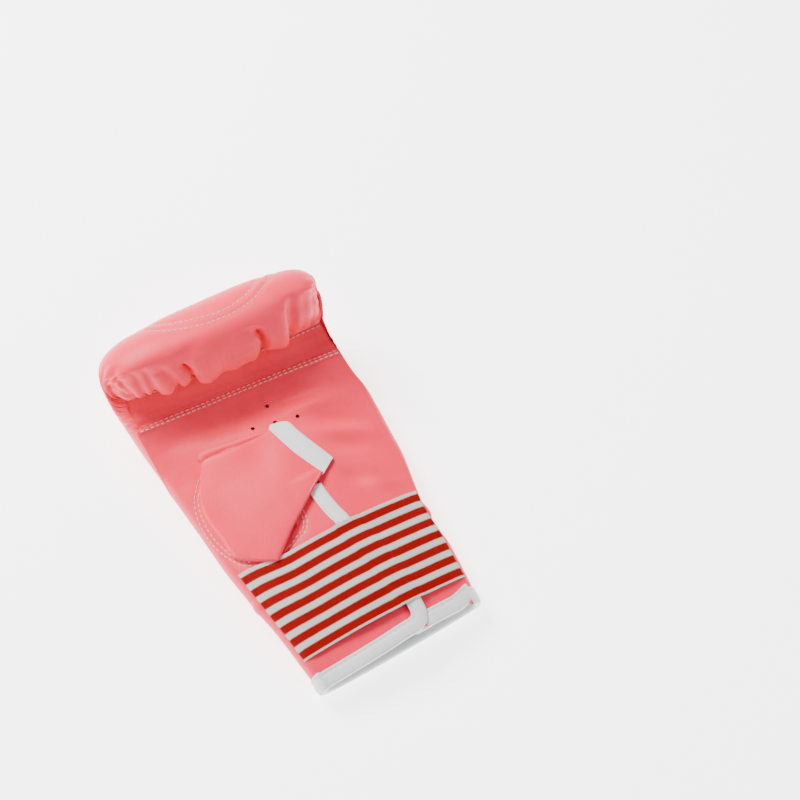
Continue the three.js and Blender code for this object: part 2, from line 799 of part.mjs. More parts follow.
// Binding of the thumb flap: along its hem, round its corner and up the slit
function thumbFlapBinding() {
  const cornerAcross = slitEdge(flapHem + flapCorner) - flapCorner;
  const start = -rimAt(flapHem).half + seamGap;
  const top = hem + bindingTopShare * palmLength;
  const lengths = [cornerAcross - start, flapCorner * Math.PI / 2, top - flapHem - flapCorner];
  const whole = lengths[0] + lengths[1] + lengths[2];
  const pointAt = (share, away, rise) => {
    const way = share * whole;
    if (way <= lengths[0]) return flapPoint([start + way, flapHem], [0, -1], away, rise);
    if (way <= lengths[0] + lengths[1]) {
      const angle = (way - lengths[0]) / flapCorner;
      const outward = [Math.sin(angle), -Math.cos(angle)];
      const place = [cornerAcross + flapCorner * outward[0], flapHem + flapCorner * (1 + outward[1])];
      return flapPoint(place, outward, away, rise);
    }
    const along = Math.min(flapHem + flapCorner + way - lengths[0] - lengths[1], top);
    return flapPoint([slitEdge(along), along], [1, 0], away, rise);
  };
  return bindingBody(pointAt, leather, bindingSteps);
}

function littleFlapBinding() {
  const from = slitEdge(flapHem + flapCorner) + slitGap + 2 * bindingThickness;
  const to = rimAt(flapHem).half - bindingThickness;
  const pointAt = (share, away, rise) => {
    const across = THREE.MathUtils.lerp(from, to, share);
    return flapPoint([across, flapHem], [0, -1], away, rise);
  };
  return bindingBody(pointAt, leather, littleBindingSteps);
}

// Binding along the hem of the cuff, from one rim under the wrist to the other
function cuffBinding() {
  const along = cuffLength - 2 * bindingThickness;
  const pointAt = (share, away, rise) => {
    const place = (share * 2 - 1) * cuffBindingShare;
    const point = cuffPoint(along + Math.min(away, 0), place, -rise);
    point.y -= Math.max(away, 0);
    return point;
  };
  return bindingBody(pointAt, cuffWall, hemSteps);
}

// Thumb stall: an open sleeve sewn round the thumb hole, folded flat over the palm towards
// the fingers. Its layer next to the palm is longer than the outer one.
function stallPoint(angle, along, inset) {
  const hole = palmPlace(thumbHolePlace);
  const mouth = palmPlace(stallMouthPlace);
  const halfAcross = thumbHoleWidth / 2 + stallFlange - inset;
  const halfAlong = thumbHoleLength / 2 + stallFlange - inset;
  const turn = THREE.MathUtils.degToRad(thumbHoleTurn);
  const x = -halfAcross * Math.sin(angle);
  const y = halfAlong * Math.cos(angle);
  const base = new THREE.Vector3(
    hole[0] + x * Math.cos(turn) - y * Math.sin(turn),
    hole[1] + x * Math.sin(turn) + y * Math.cos(turn),
    0,
  );
  base.z = coverTop(base.x, base.y) + lift;
  const outerLayer = Math.max(Math.sin(angle), 0);
  const backLayer = Math.max(-Math.sin(angle), 0);
  const across = THREE.MathUtils.degToRad(stallMouthTurn);
  const width = (stallMouthWidth / 2 - inset) * Math.cos(angle);
  const middleHeight = coverTop(mouth[0], mouth[1]) + lift + stallMouthHeight / 2;
  const end = new THREE.Vector3(
    mouth[0] - width * Math.cos(across),
    mouth[1] - width * Math.sin(across),
    middleHeight + (stallMouthHeight / 2 - inset) * Math.sin(angle),
  );
  const onward = new THREE.Vector3(-Math.sin(across), Math.cos(across), 0);
  end.addScaledVector(onward, stallBackLayer * smooth(0.05, 0.4, backLayer));
  const rise = (stallRise - inset) * outerLayer + stallFirstLift;
  const first = base.clone().add(new THREE.Vector3(0, 0, rise));
  const second = end.clone().addScaledVector(onward, -stallMouthRun - stallRise * outerLayer);
  second.z = end.z + stallMouthDrop * outerLayer;
  const curve = new THREE.CubicBezierCurve3(base, first, second, end);
  const point = curve.getPoint(along);
  const floor = coverTop(point.x, point.y) + bindingRise(point.x, point.y) + lift + inset;
  point.z = Math.max(point.z, floor);
  return point;
}

function stallBody() {
  const ring = (along, inset) => Array.from({ length: stallSides }, (_, side) => (
    settle(stallPoint(((side + 0.5) / stallSides) * 2 * Math.PI, along, inset))
  ));
  const rings = [];
  for (let step = 0; step <= stallSteps; step += 1) rings.push(ring(step / stallSteps, 0));
  for (let step = stallSteps; step >= 0; step -= 1) rings.push(ring(step / stallSteps, stallWall));
  return ringBody(rings, true);
}

// Label patch on the back of the cuff, between the cuff seam and the binding of the hem
function patchBody() {
  const hemEdge = cuffLength - 2 * bindingThickness - bindingWidth - patchHemMargin;
  const width = Math.min(patchWidth, hemEdge - patchSeamMargin);
  const at = (depth) => (column, row) => {
    const along = hemEdge - (1 - row) * width;
    const across = (column - 0.5) * patchLength;
    const half = cuffSection(along).half;
    const angle = Math.asin(Math.min(Math.abs(across) / half, 1) ** (boxiness / 2));
    const place = Math.sign(across) * sideShare * (angle / (Math.PI / 2));
    const point = cuffPoint(along, place, 0);
    point.z -= depth;
    return settle(point);
  };
  return sheetBody(at(trimLift), at(trimLift + patchThickness), patchSteps, patchRows);
}

// Mesh of a solid
function meshOf(name, solid, colour, roughness) {
  const { vertProperties, triVerts } = solid.getMesh();
  const geometry = new THREE.BufferGeometry();
  geometry.setAttribute('position', new THREE.Float32BufferAttribute(vertProperties, 3));
  geometry.setIndex(Array.from(triVerts));
  geometry.computeVertexNormals();
  const material = new THREE.MeshStandardMaterial({ color: colour, roughness, metalness: 0 });
  const mesh = new THREE.Mesh(geometry, material);
  mesh.name = name;
  return mesh;
}

const glove = new THREE.Group();
glove.add(meshOf('padded_back', padBody(0), pink, 0.45));
glove.add(meshOf('palm_panel', palmBody(), pink, 0.45));
glove.add(meshOf('finger_panel', fingerBody(), pink, 0.45));
glove.add(meshOf('thumb_stall', stallBody(), deepPink, 0.45));
glove.add(meshOf('cuff_back', cuffBody(), pink, 0.45));
glove.add(meshOf('wrist_elastic', elasticBody(), red, 0.9));
glove.add(meshOf('thumb_flap_binding', thumbFlapBinding(), white, 0.55));
glove.add(meshOf('little_flap_binding', littleFlapBinding(), white, 0.55));
glove.add(meshOf('cuff_binding', cuffBinding(), white, 0.55));
glove.add(meshOf('label_patch', patchBody(), white, 0.8));

// The origin is on the floor under the middle of the glove
const box = new THREE.Box3().setFromObject(glove);
const centre = box.getCenter(new THREE.Vector3());
glove.position.set(-centre.x, -centre.y, -box.min.z);

export default glove;
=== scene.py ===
# %% [markdown]
# # A bag glove that lies on its padded back
#
# The real glove is sewn from grained vinyl over foam. A thick pad covers the back of the hand,
# rolls round the knuckles and ends in gathers over the fingers. A palm panel closes the glove,
# a loose thumb stall is sewn round a hole in it, striped elastic holds the wrist, and white
# binding covers the cut edges. Each of these is a piece of its own here, and each replaces the
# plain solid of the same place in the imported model.

# %% Load the frame
import math

import bmesh
import bpy
import numpy as np
from mathutils import Matrix, Vector


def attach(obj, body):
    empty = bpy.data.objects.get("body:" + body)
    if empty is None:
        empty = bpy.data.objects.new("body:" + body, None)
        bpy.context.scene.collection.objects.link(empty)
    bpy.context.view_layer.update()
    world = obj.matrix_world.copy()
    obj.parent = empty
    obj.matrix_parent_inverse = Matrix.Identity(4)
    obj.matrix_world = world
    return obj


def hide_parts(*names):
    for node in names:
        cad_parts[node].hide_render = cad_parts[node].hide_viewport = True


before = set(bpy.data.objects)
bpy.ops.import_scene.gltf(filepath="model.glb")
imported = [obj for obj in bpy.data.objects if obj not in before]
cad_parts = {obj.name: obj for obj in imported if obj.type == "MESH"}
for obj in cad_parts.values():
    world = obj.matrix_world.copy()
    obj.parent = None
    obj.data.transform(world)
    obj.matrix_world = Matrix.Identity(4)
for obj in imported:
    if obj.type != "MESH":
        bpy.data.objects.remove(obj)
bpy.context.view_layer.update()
print("solids:", sorted(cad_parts))

# %% [markdown]
# ## Camera
#
# The photograph was taken from high above, turned a little over 30 degrees round the glove, with
# a long lens. The camera is placed so that one known point of the glove, near its thumb stall,
# falls on its place in the picture. Moving the camera back from that point along its own axes
# keeps the lens unshifted.

# %% Camera
PHOTO_SIZE = 800
CAMERA_AZIMUTH = math.radians(-30.5)
CAMERA_ELEVATION = math.radians(67.0)
CAMERA_DISTANCE = 1.05
PICTURE_SCALE = 0.00059
AIM_POINT = Vector((-0.0019, -0.00216, 0.030))
AIM_PIXEL = (290, 480)


def place_camera():
    flat = math.cos(CAMERA_ELEVATION)
    back = Vector((
        math.sin(CAMERA_AZIMUTH) * flat,
        -math.cos(CAMERA_AZIMUTH) * flat,
        math.sin(CAMERA_ELEVATION),
    ))
    right = Vector((math.cos(CAMERA_AZIMUTH), math.sin(CAMERA_AZIMUTH), 0))
    up = back.cross(right)
    rightwards = (AIM_PIXEL[0] - PHOTO_SIZE / 2) * PICTURE_SCALE
    upwards = (PHOTO_SIZE / 2 - AIM_PIXEL[1]) * PICTURE_SCALE
    eye = AIM_POINT + CAMERA_DISTANCE * back - rightwards * right - upwards * up
    lens = bpy.data.cameras.new("photo_camera")
    lens.angle = 2 * math.atan(PHOTO_SIZE / 2 * PICTURE_SCALE / CAMERA_DISTANCE)
    camera = bpy.data.objects.new("photo_camera", lens)
    turn = Matrix((right, up, back)).transposed().to_4x4()
    camera.matrix_world = Matrix.Translation(eye) @ turn
    bpy.context.collection.objects.link(camera)
    bpy.context.scene.camera = camera
    return camera


camera = place_camera()
print("camera stands at", [round(value, 3) for value in camera.matrix_world.translation])

# %% [markdown]
# ## Sizes and the two drawing tools
#
# The pad, the palm and the trims follow the same sections as the solids do, so the driving sizes
# and the tables of sections are the same, in millimetres. A curve through a table gives the
# value at any place between its rows, and `settle` lays the straight pattern down as the real
# glove lies, leaning a little and with its fist slanted.

# %% Driving sizes
PAD_LENGTH = 180.0
CUFF_LENGTH = 55.0
HALF_FIST = 71.5
FIST_HEIGHT = 80.0
PALM_HEIGHT = 35.0
PAD_THICKNESS = 15.0
FLANK_THICKNESS = 7.0
SEAM_LIP = 3.0
RESTING_FLAT = 1.4
CUFF_WALL = 3.0
BOXINESS = 3.2
SIDE_SHARE = 0.7
HEM = -CUFF_LENGTH
LOWER_SEAM = 0.686 * PAD_LENGTH
SEAM_LINE = LOWER_SEAM + 3.0
UPPER_SEAM = 0.8 * PAD_LENGTH
PALM_LENGTH = LOWER_SEAM - HEM
LEAN = 0.03
SLANT = 0.115
SEAM_SAG = 9.0
TO_CENTRE = np.array([4.454, -64.164, 0.0])

# %% Curves through tables
def smooth(low, high, value):
    part = np.clip((value - low) / (high - low), 0, 1)
    return part * part * (3 - 2 * part)


def bell(distance, width):
    return np.exp(-((distance / width) ** 2))


def curve_at(values, position):
    """Value of a smooth curve through evenly spaced values, at positions counted in rows."""
    last = len(values) - 1
    row = np.clip(np.floor(position).astype(int), 0, last - 1)
    part = position - row
    here, onward = values[row], values[row + 1]
    slope = (onward - values[np.maximum(row - 1, 0)]) / 2
    slope_on = (values[np.minimum(row + 2, last)] - here) / 2
    square, cube = part**2, part**3
    rising = 3 * square - 2 * cube
    return ((1 - rising) * here + rising * onward
            + (cube - 2 * square + part) * slope + (cube - square) * slope_on)


def curve_along(table, column, along):
    """Value of one column of a table whose first column is the place along."""
    row = np.clip(np.searchsorted(table[:, 0], along, side="right") - 1, 0, len(table) - 2)
    part = np.clip((along - table[row, 0]) / (table[row + 1, 0] - table[row, 0]), 0, 1)
    return curve_at(table[:, column], row + part)


# The little finger's side of the real glove is drawn in: along it, the farthest a point may lie
FLANK_LIMIT = np.array([
    (-40, 90.0), (-25, 66.0), (-12, 58.8), (0, 56.8), (12, 57.2), (22, 59.2), (35, 62.5),
    (50, 67.0), (70, 70.2), (90, 70.2), (104, 68.4), (114, 66.4), (124, 64.8), (136, 64.0),
    (146, 65.0), (154, 68.5), (164, 73.0), (176, 90.0),
])
FLANK_SOFTNESS = 5.0


def drawn_in(x, y):
    """Keeps x within the limit there, with a soft approach to it."""
    along = np.clip(y, FLANK_LIMIT[0, 0], FLANK_LIMIT[-1, 0])
    limit = curve_along(FLANK_LIMIT, 1, along) - FLANK_SOFTNESS
    over = np.maximum(x - limit, 0)
    return np.where(over > 0, limit + FLANK_SOFTNESS * (1 - np.exp(-over / FLANK_SOFTNESS)), x)


def settle(x, y, z):
    """Where a point of the straight pattern ends up, in millimetres of the shared frame."""
    x = drawn_in(x, y)
    slant = SLANT * x * smooth(0.12 * PAD_LENGTH, 0.62 * PAD_LENGTH, y)
    return np.stack([x - LEAN * y, y - slant, z], axis=-1) + TO_CENTRE


# %% Sections of the pad and the cuff
# One row for each section of the pad, from the cuff seam to the finger seam, as shares of
# PAD_LENGTH (along), FIST_HEIGHT (up), HALF_FIST (half and tuck) and PAD_THICKNESS (wall).
PAD_COLUMNS = (
    "along", "up", "side_along", "side_up", "rim_along", "rim_up", "half", "tuck", "wall", "turn",
)
PAD_ROWS = np.array([
    (0.000, 0.088, 0.000, 0.210, 0.000, 0.300, 0.825, 0.08, 0.53, -90),
    (0.094, 0.019, 0.094, 0.190, 0.094, 0.300, 0.853, 0.08, 0.85, -90),
    (0.206, 0.000, 0.206, 0.180, 0.206, 0.300, 0.885, 0.08, 1.00, -90),
    (0.344, 0.000, 0.344, 0.180, 0.344, 0.300, 0.905, 0.08, 1.00, -90),
    (0.483, 0.000, 0.483, 0.190, 0.483, 0.315, 0.935, 0.08, 1.00, -90),
    (0.622, 0.000, 0.617, 0.210, 0.605, 0.365, 0.965, 0.08, 1.00, -88),
    (0.744, 0.006, 0.689, 0.260, 0.670, 0.430, 0.980, 0.09, 1.00, -80),
    (0.856, 0.078, 0.744, 0.340, 0.705, 0.475, 0.990, 0.11, 1.00, -66),
    (0.939, 0.240, 0.789, 0.420, 0.733, 0.500, 1.000, 0.13, 1.00, -50),
    (0.986, 0.450, 0.822, 0.510, 0.756, 0.525, 1.000, 0.14, 1.00, -30),
    (1.000, 0.660, 0.844, 0.590, 0.772, 0.540, 1.000, 0.15, 1.00, -8),
    (0.969, 0.863, 0.856, 0.660, 0.783, 0.548, 0.995, 0.16, 1.00, 14),
    (0.900, 0.980, 0.856, 0.710, 0.789, 0.552, 0.985, 0.16, 1.00, 36),
    (0.822, 1.000, 0.839, 0.730, 0.794, 0.553, 0.970, 0.15, 1.00, 56),
    (0.756, 0.925, 0.817, 0.700, 0.797, 0.552, 0.945, 0.13, 0.93, 70),
    (0.717, 0.790, 0.789, 0.650, 0.799, 0.551, 0.920, 0.11, 0.80, 80),
    (0.712, 0.670, 0.774, 0.610, 0.800, 0.550, 0.890, 0.08, 0.60, 86),
    (0.739, 0.600, 0.780, 0.580, 0.800, 0.550, 0.860, 0.05, 0.37, 90),
    (0.800, 0.556, 0.800, 0.554, 0.800, 0.550, 0.840, 0.03, 0.23, 90),
])
LAST_ROW = len(PAD_ROWS) - 1

# Sections of the cuff: along from the cuff seam to the hem, up, side_up, rim_up, half, tuck
CUFF_ROWS = np.array([
    (0.00, 0.106, 0.212, 0.300, 0.815, 0.07),
    (0.33, 0.080, 0.190, 0.285, 0.785, 0.07),
    (0.68, 0.060, 0.165, 0.265, 0.760, 0.07),
    (1.00, 0.050, 0.135, 0.220, 0.735, 0.07),
])


def pad_value(column, position, unit=1.0):
    return curve_at(PAD_ROWS[:, PAD_COLUMNS.index(column)], position) * unit


def pad_lines(position):
    """Middle, side and rim of the sections, each along and up, with half widths and tucks."""
    lines = [
        np.stack([pad_value(line + "along", position, PAD_LENGTH),
                  pad_value(line + "up", position, FIST_HEIGHT)], axis=-1)
        for line in ("", "side_", "rim_")
    ]
    return *lines, pad_value("half", position, HALF_FIST), pad_value("tuck", position, HALF_FIST)


def round_section(middle, side, rim, half, tuck, place):
    """Point of a section, from the thumb's rim at -1 over its middle to the other rim at 1."""
    way = np.abs(place)
    low = np.clip(way / SIDE_SHARE, 0, 1) * math.pi / 2
    high = np.clip((way - SIDE_SHARE) / (1 - SIDE_SHARE), 0, 1) * math.pi / 2
    bulge = np.maximum(np.cos(low), 0) ** (2 / BOXINESS)
    below = side + (middle - side) * bulge[..., None]
    above = side + (rim - side) * np.sin(high)[..., None]
    upper = way > SIDE_SHARE
    spot = np.where(upper[..., None], above, below)
    across = np.where(upper, half - tuck * (1 - np.cos(high)), half * np.sin(low) ** (2 / BOXINESS))
    return np.sign(place) * across, spot[..., 0], spot[..., 1]


def sag(x, y, z, half):
    share = np.minimum(np.abs(x) / half, 1)
    low = 1 - smooth(0.10 * FIST_HEIGHT, 0.22 * FIST_HEIGHT, z)
    return y - SEAM_SAG * (1 - share**2) * bell(y, 0.16 * PAD_LENGTH) * low


def cuff_lines(along):
    share = along / CUFF_LENGTH
    up, side_up, rim_up, half, tuck = [
        curve_along(CUFF_ROWS, column, share) for column in range(1, 6)]
    lines = [np.stack([-along, height * FIST_HEIGHT], axis=-1) for height in (up, side_up, rim_up)]
    return *lines, half * HALF_FIST, tuck * HALF_FIST


def rim_table():
    """Rows of along, half width of the rim, half width of the side, height of the rim and side."""
    rows = []
    for along in np.linspace(CUFF_LENGTH, 0, 9)[:-1]:
        _, side, rim, half, tuck = cuff_lines(np.array(along))
        rows.append((-along, half - tuck, half, rim[1], side[1]))
    for position in np.arange(0, 8.1, 0.5):
        _, side, rim, half, tuck = pad_lines(np.array(position))
        rows.append((rim[0], half - tuck, half, rim[1], side[1]))
    return np.array(rows)


RIM = rim_table()


def rim_at(along):
    return [np.interp(along, RIM[:, 0], RIM[:, column]) for column in range(1, 5)]


print("sections of the pad:", len(PAD_ROWS), "rows of its rim:", len(RIM))

# %% [markdown]
# ## From a flat grid to a sewn sheet
#
# Every leather, cloth and padded piece starts as a flat grid, which is then given a back by an
# extrusion, so that it is a closed sheet from the start. Only then is each vertex moved to its
# place, by a function of where it lies across the grid, along it and in its thickness. The same
# functions place the stitches later, so that they lie exactly on their sheet.

# %% Sheet maker
SMOOTH_ANGLE = math.radians(50)


def finish_mesh(name, bm, materials):
    bmesh.ops.recalc_face_normals(bm, faces=bm.faces)
    mesh = bpy.data.meshes.new(name)
    bm.to_mesh(mesh)
    bm.free()
    mesh.shade_smooth()
    mesh.set_sharp_from_angle(angle=SMOOTH_ANGLE)
    for material in materials:
        mesh.materials.append(material)
    piece = bpy.data.objects.new(name, mesh)
    bpy.context.collection.objects.link(piece)
    triangles = sum(len(face.vertices) - 2 for face in mesh.polygons)
    print(f"{name}: {triangles} triangles")
    return piece


def move_grid(bm, point_at):
    """Notes where each corner lies in the grid, in a UV map, and moves it to its place."""
    flow = bm.loops.layers.uv.new("flow")
    for face in bm.faces:
        for loop in face.loops:
            loop[flow].uv = (loop.vert.co.x, (loop.vert.co.y + 1) / 2)
    spots = np.array([vertex.co for vertex in bm.verts])
    spots = point_at(spots[:, 0], (spots[:, 1] + 1) / 2, spots[:, 2]) / 1000
    for vertex, spot in zip(bm.verts, spots):
        vertex.co = spot
    return bm


def sheet_bmesh(columns, rows, point_at, inner_slot=0, keep=None):
    """Closed sheet. point_at takes across (-1 to 1), along (0 to 1) and depth (0 to 1)."""
    bm = bmesh.new()
    bmesh.ops.create_grid(bm, x_segments=columns, y_segments=rows, size=1.0)
    if keep is not None:
        centres = np.array([face.calc_center_median() for face in bm.faces])
        stays = keep(centres[:, 0], (centres[:, 1] + 1) / 2)
        lost = [face for face, kept in zip(bm.faces, stays) if not kept]
        bmesh.ops.delete(bm, geom=lost, context="FACES")
    made = bmesh.ops.extrude_face_region(bm, geom=bm.faces[:])
    back = [item for item in made["geom"] if isinstance(item, bmesh.types.BMVert)]
    bmesh.ops.translate(bm, verts=back, vec=(0, 0, 1))
    for face in bm.faces:
        if all(vertex.co.z > 0.5 for vertex in face.verts):
            face.material_index = inner_slot
    return move_grid(bm, point_at)


def outward(surface, a, b, step_a, step_b, towards):
    """Unit normals of a surface of two values, on the side that towards points to."""
    run_a = surface(a + step_a, b) - surface(a - step_a, b)
    run_b = surface(a, b + step_b) - surface(a, b - step_b)
    normal = np.cross(run_a, run_b)
    normal /= np.linalg.norm(normal, axis=-1, keepdims=True) + 1e-12
    return normal * towards


# %% [markdown]
# ## Finishes
#
# The vinyl has a fine pressed grain, which breaks its soft gloss into a sheen. The grain is a
# node group, because the pink vinyl, the white binding and the lining all need it at their own
# scale. It puts out a height for a Bump node and a mask that the colour and roughness use. It
# reads Object coordinates, so that the grain stays on the piece from any side.

# %% Node tools and the grain group
def feed(tree, made, inputs):
    """Gives each named input of a node its value, or the socket that feeds it."""
    for key, value in inputs.items():
        if isinstance(value, bpy.types.NodeSocket):
            tree.links.new(value, made.inputs[key])
        else:
            made.inputs[key].default_value = value
    return made


def node(tree, kind, inputs=None, **settings):
    """New shader node, with its inputs fed and its settings made."""
    made = tree.nodes.new("ShaderNode" + kind)
    for key, value in settings.items():
        setattr(made, key, value)
    return feed(tree, made, inputs or {})


def maths(tree, operation, *values):
    """Output of a Math node. Its inputs are numbers or sockets."""
    return node(tree, "Math", dict(enumerate(values)), operation=operation).outputs[0]


def object_place(tree):
    return node(tree, "TexCoord").outputs["Object"]


def bumped(tree, height, strength, distance):
    inputs = {"Height": height, "Strength": strength, "Distance": distance}
    return node(tree, "Bump", inputs).outputs["Normal"]


def new_material(name):
    material = bpy.data.materials.new(name)
    material.use_nodes = True
    return material, material.node_tree, material.node_tree.nodes["Principled BSDF"]


def grain_group():
    group = bpy.data.node_groups.new("pressed_grain", "ShaderNodeTree")
    new_socket = group.interface.new_socket
    for label, scale in (("Scale", 1100.0), ("Blotch Scale", 45.0)):
        socket = new_socket(name=label, in_out="INPUT", socket_type="NodeSocketFloat")
        socket.default_value = scale
    for label in ("Height", "Blotch"):
        new_socket(name=label, in_out="OUTPUT", socket_type="NodeSocketFloat")
    start = group.nodes.new("NodeGroupInput").outputs
    place = object_place(group)
    finer = maths(group, "MULTIPLY", start["Scale"], 1.7)
    fine = node(group, "TexNoise", {"Vector": place, "Scale": finer, "Detail": 3.0})
    cells = node(
        group, "TexVoronoi", {"Vector": place, "Scale": start["Scale"], "Smoothness": 0.6},
        feature="SMOOTH_F1",
    )
    blotch = node(
        group, "TexNoise", {"Vector": place, "Scale": start["Blotch Scale"], "Detail": 4.0})
    height = maths(group, "MULTIPLY_ADD", fine.outputs["Fac"], 0.5, cells.outputs["Distance"])
    end = group.nodes.new("NodeGroupOutput")
    feed(group, end, {"Height": height, "Blotch": blotch.outputs["Fac"]})
    return group


GRAIN = grain_group()
print("grain group:", len(GRAIN.nodes), "nodes")

# %% Grained sheet materials
def grained(name, light, dark, roughness, grain_scale, bump, shine=0.5, sheen=0.0):
    """Sheet material whose colour drifts between two tones, with a pressed grain."""
    material, tree, shader = new_material(name)
    grain = node(tree, "Group", node_tree=GRAIN)
    grain.inputs["Scale"].default_value = grain_scale
    blotch = grain.outputs["Blotch"]
    tone = node(tree, "ValToRGB", {"Fac": blotch})
    for stop, position, colour in zip(tone.color_ramp.elements, (0.38, 0.62), (dark, light)):
        stop.position = position
        stop.color = (*colour, 1)
    matt = {"Value": blotch, "To Min": roughness - 0.05, "To Max": roughness + 0.05}
    feed(tree, shader, {
        "Base Color": tone.outputs["Color"],
        "Roughness": node(tree, "MapRange", matt).outputs["Result"],
        "Normal": bumped(tree, grain.outputs["Height"], bump, 0.0004),
        "Specular IOR Level": shine,
        "Sheen Weight": sheen,
    })
    return material


def linear(red, green, blue):
    """Linear colour from the 0 to 255 values that a screen shows."""
    return tuple(((value / 255 + 0.055) / 1.055) ** 2.4 for value in (red, green, blue))


PINK = grained("pink_vinyl", linear(249, 48, 77), linear(243, 43, 72), 0.45, 1100.0, 0.2, 0.18)
BINDING = grained("white_binding", linear(228, 229, 228), linear(221, 222, 222), 0.5, 900.0, 0.15)
LINING = grained(
    "lining_cloth", linear(205, 210, 214), linear(190, 196, 201), 0.9, 1500.0, 0.5, 0.2, 0.1)
DARK = grained("pad_lining", linear(150, 150, 152), linear(135, 136, 139), 0.9, 1500.0, 0.5)
print("sheet materials:", PINK.name, BINDING.name, LINING.name, DARK.name)

# %% Thread material
def thread_material(name, colour):
    """Twisted thread: a fine slanting wave gives its strands."""
    material, tree, shader = new_material(name)
    place = object_place(tree)
    strands = node(tree, "TexWave", {"Vector": place, "Scale": 900.0}, bands_direction="DIAGONAL")
    feed(tree, shader, {
        "Base Color": (*colour, 1),
        "Roughness": 0.65,
        "Normal": bumped(tree, strands.outputs["Color"], 0.4, 0.0002),
    })
    return material


THREAD = thread_material("grey_thread", linear(205, 186, 184))
PALE_THREAD = thread_material("pale_thread", linear(200, 196, 186))
RED_THREAD = thread_material("dark_red_thread", linear(120, 20, 24))

# %% [markdown]
# ## The padded back
#
# The pad is one long quilted skin: it starts at the cuff seam, runs flat under the back of the
# hand, turns up round the knuckles and curls over as a roll, whose edge is gathered into the
# finger seam. Its surface is drawn in two even coordinates, across the skin and along its
# middle line, so that a fold can be written down as a short path on the skin with a width and a
# depth, as a maker would chalk it. A cloth simulation would lose the exact places of these
# gathers, so they are moved in code, each by a smooth groove.

# %% Even coordinates on the pad
MIDDLING_HEIGHTS = (0.0, 18.0, 30.0)
MIDDLING_TUCK = 7.0
FINE_STEPS = 4001


def even_places():
    """Places round a middling section with the length of skin up to each of them."""
    places = np.linspace(0, 1, FINE_STEPS)
    flat = [np.array([0.0, height]) for height in MIDDLING_HEIGHTS]
    x, _, z = round_section(*flat, HALF_FIST, MIDDLING_TUCK, places)
    steps = np.hypot(np.diff(x), np.diff(z))
    return places, np.concatenate([[0.0], np.cumsum(steps)])


def even_rows():
    """Row positions with the length of skin along the middle up to each of them."""
    rows = np.linspace(0, LAST_ROW, FINE_STEPS)
    steps = np.linalg.norm(np.diff(pad_lines(rows)[0], axis=0), axis=1)
    return rows, np.concatenate([[0.0], np.cumsum(steps)])


PLACES, PLACE_RUN = even_places()
ROWS, ROW_RUN = even_rows()
HALF_ROUND = PLACE_RUN[-1]
PAD_RUN = ROW_RUN[-1]
print(f"skin of the pad: {2 * HALF_ROUND:.0f} mm round by {PAD_RUN:.0f} mm long")


# How the roll lies apart from the even rows: the two ends of the upper finger seam are drawn out
# and up, the underside of the roll is drawn up, more so at its ends, and the roll is slanted.
SEAM_ENDS_OUT = (3.4, 4.7)
SEAM_ENDS_UP = (3.1, 1.9)
UNDERSIDE_UP = 5.0
UNDERSIDE_ENDS_UP = (3.5, 3.0)
ROLL_SLANT = 0.05
ROLL_BOW = 0.0006


def side_value(x, pair):
    """The first value on the thumb's side and the second on the little finger's side."""
    return np.where(x < 0, pair[0], pair[1])


def roll_pull(x, place, position):
    """How far the roll is drawn along. Its parts are told apart by the rows of the sections."""
    on_roll = smooth(8.0, 11.5, position) * (1 - smooth(15.5, 18, position))
    under = smooth(12.6, 14.4, position) * (1 - smooth(16.6, 18, position))
    thumb_end, little_end = smooth(18, 50, -x), smooth(26, 50, x)
    up = UNDERSIDE_UP + UNDERSIDE_ENDS_UP[0] * thumb_end + UNDERSIDE_ENDS_UP[1] * little_end
    slant = ROLL_SLANT * x + ROLL_BOW * np.maximum(x, 0) ** 2
    return (slant * on_roll + up * under) * (1 - smooth(0.55, 1.0, np.abs(place)))


def move_ends(x, y, place, position):
    """Draws the ends of the upper finger seam out and up, and the roll along."""
    weight = smooth(0.55, 1.0, np.abs(place)) * smooth(5.5, 9.0, position)
    y = y + weight * side_value(x, SEAM_ENDS_UP) + roll_pull(x, place, position)
    return x + weight * side_value(x, SEAM_ENDS_OUT) * np.sign(x), y


def skin_place(across, run):
    """Place round its section and row of the sections, for a spot on the unfolded skin."""
    place = np.sign(across) * np.interp(np.abs(across), PLACE_RUN, PLACES)
    return place, np.interp(run, ROW_RUN, ROWS)


def pad_base(across, run):
    """Unfolded skin of the pad, across and along it in millimetres."""
    place, position = skin_place(across, run)
    middle, side, rim, half, tuck = pad_lines(position)
    x, y, z = round_section(middle, side, rim, half, tuck, place)
    x, y = move_ends(x, sag(x, y, z, half), place, position)
    return settle(x, y, np.maximum(z - RESTING_FLAT, 0))


def pad_inside(across, run):
    """Inner face of the padding, a wall's thickness inside the skin."""
    place, position = skin_place(across, run)
    middle, side, rim, half, tuck = pad_lines(position)
    before = pad_lines(np.maximum(position - 0.05, 0))[0]
    way = pad_lines(np.minimum(position + 0.05, LAST_ROW))[0] - before
    way /= np.linalg.norm(way, axis=-1, keepdims=True)
    inward = np.stack([-way[..., 1], way[..., 0]], axis=-1)
    middle = middle + inward * pad_value("wall", position, PAD_THICKNESS)[..., None]
    turn = np.radians(pad_value("turn", position))
    rim = rim + SEAM_LIP * np.stack([np.cos(turn), np.sin(turn)], axis=-1)
    side = middle + (rim - middle) * 0.45
    inner_half = half - FLANK_THICKNESS
    x, y, z = round_section(middle, side, rim, inner_half, inner_half - (half - tuck), place)
    x, y = move_ends(x, sag(x, y, z, inner_half), place, position)
    return settle(x, y, z - RESTING_FLAT)


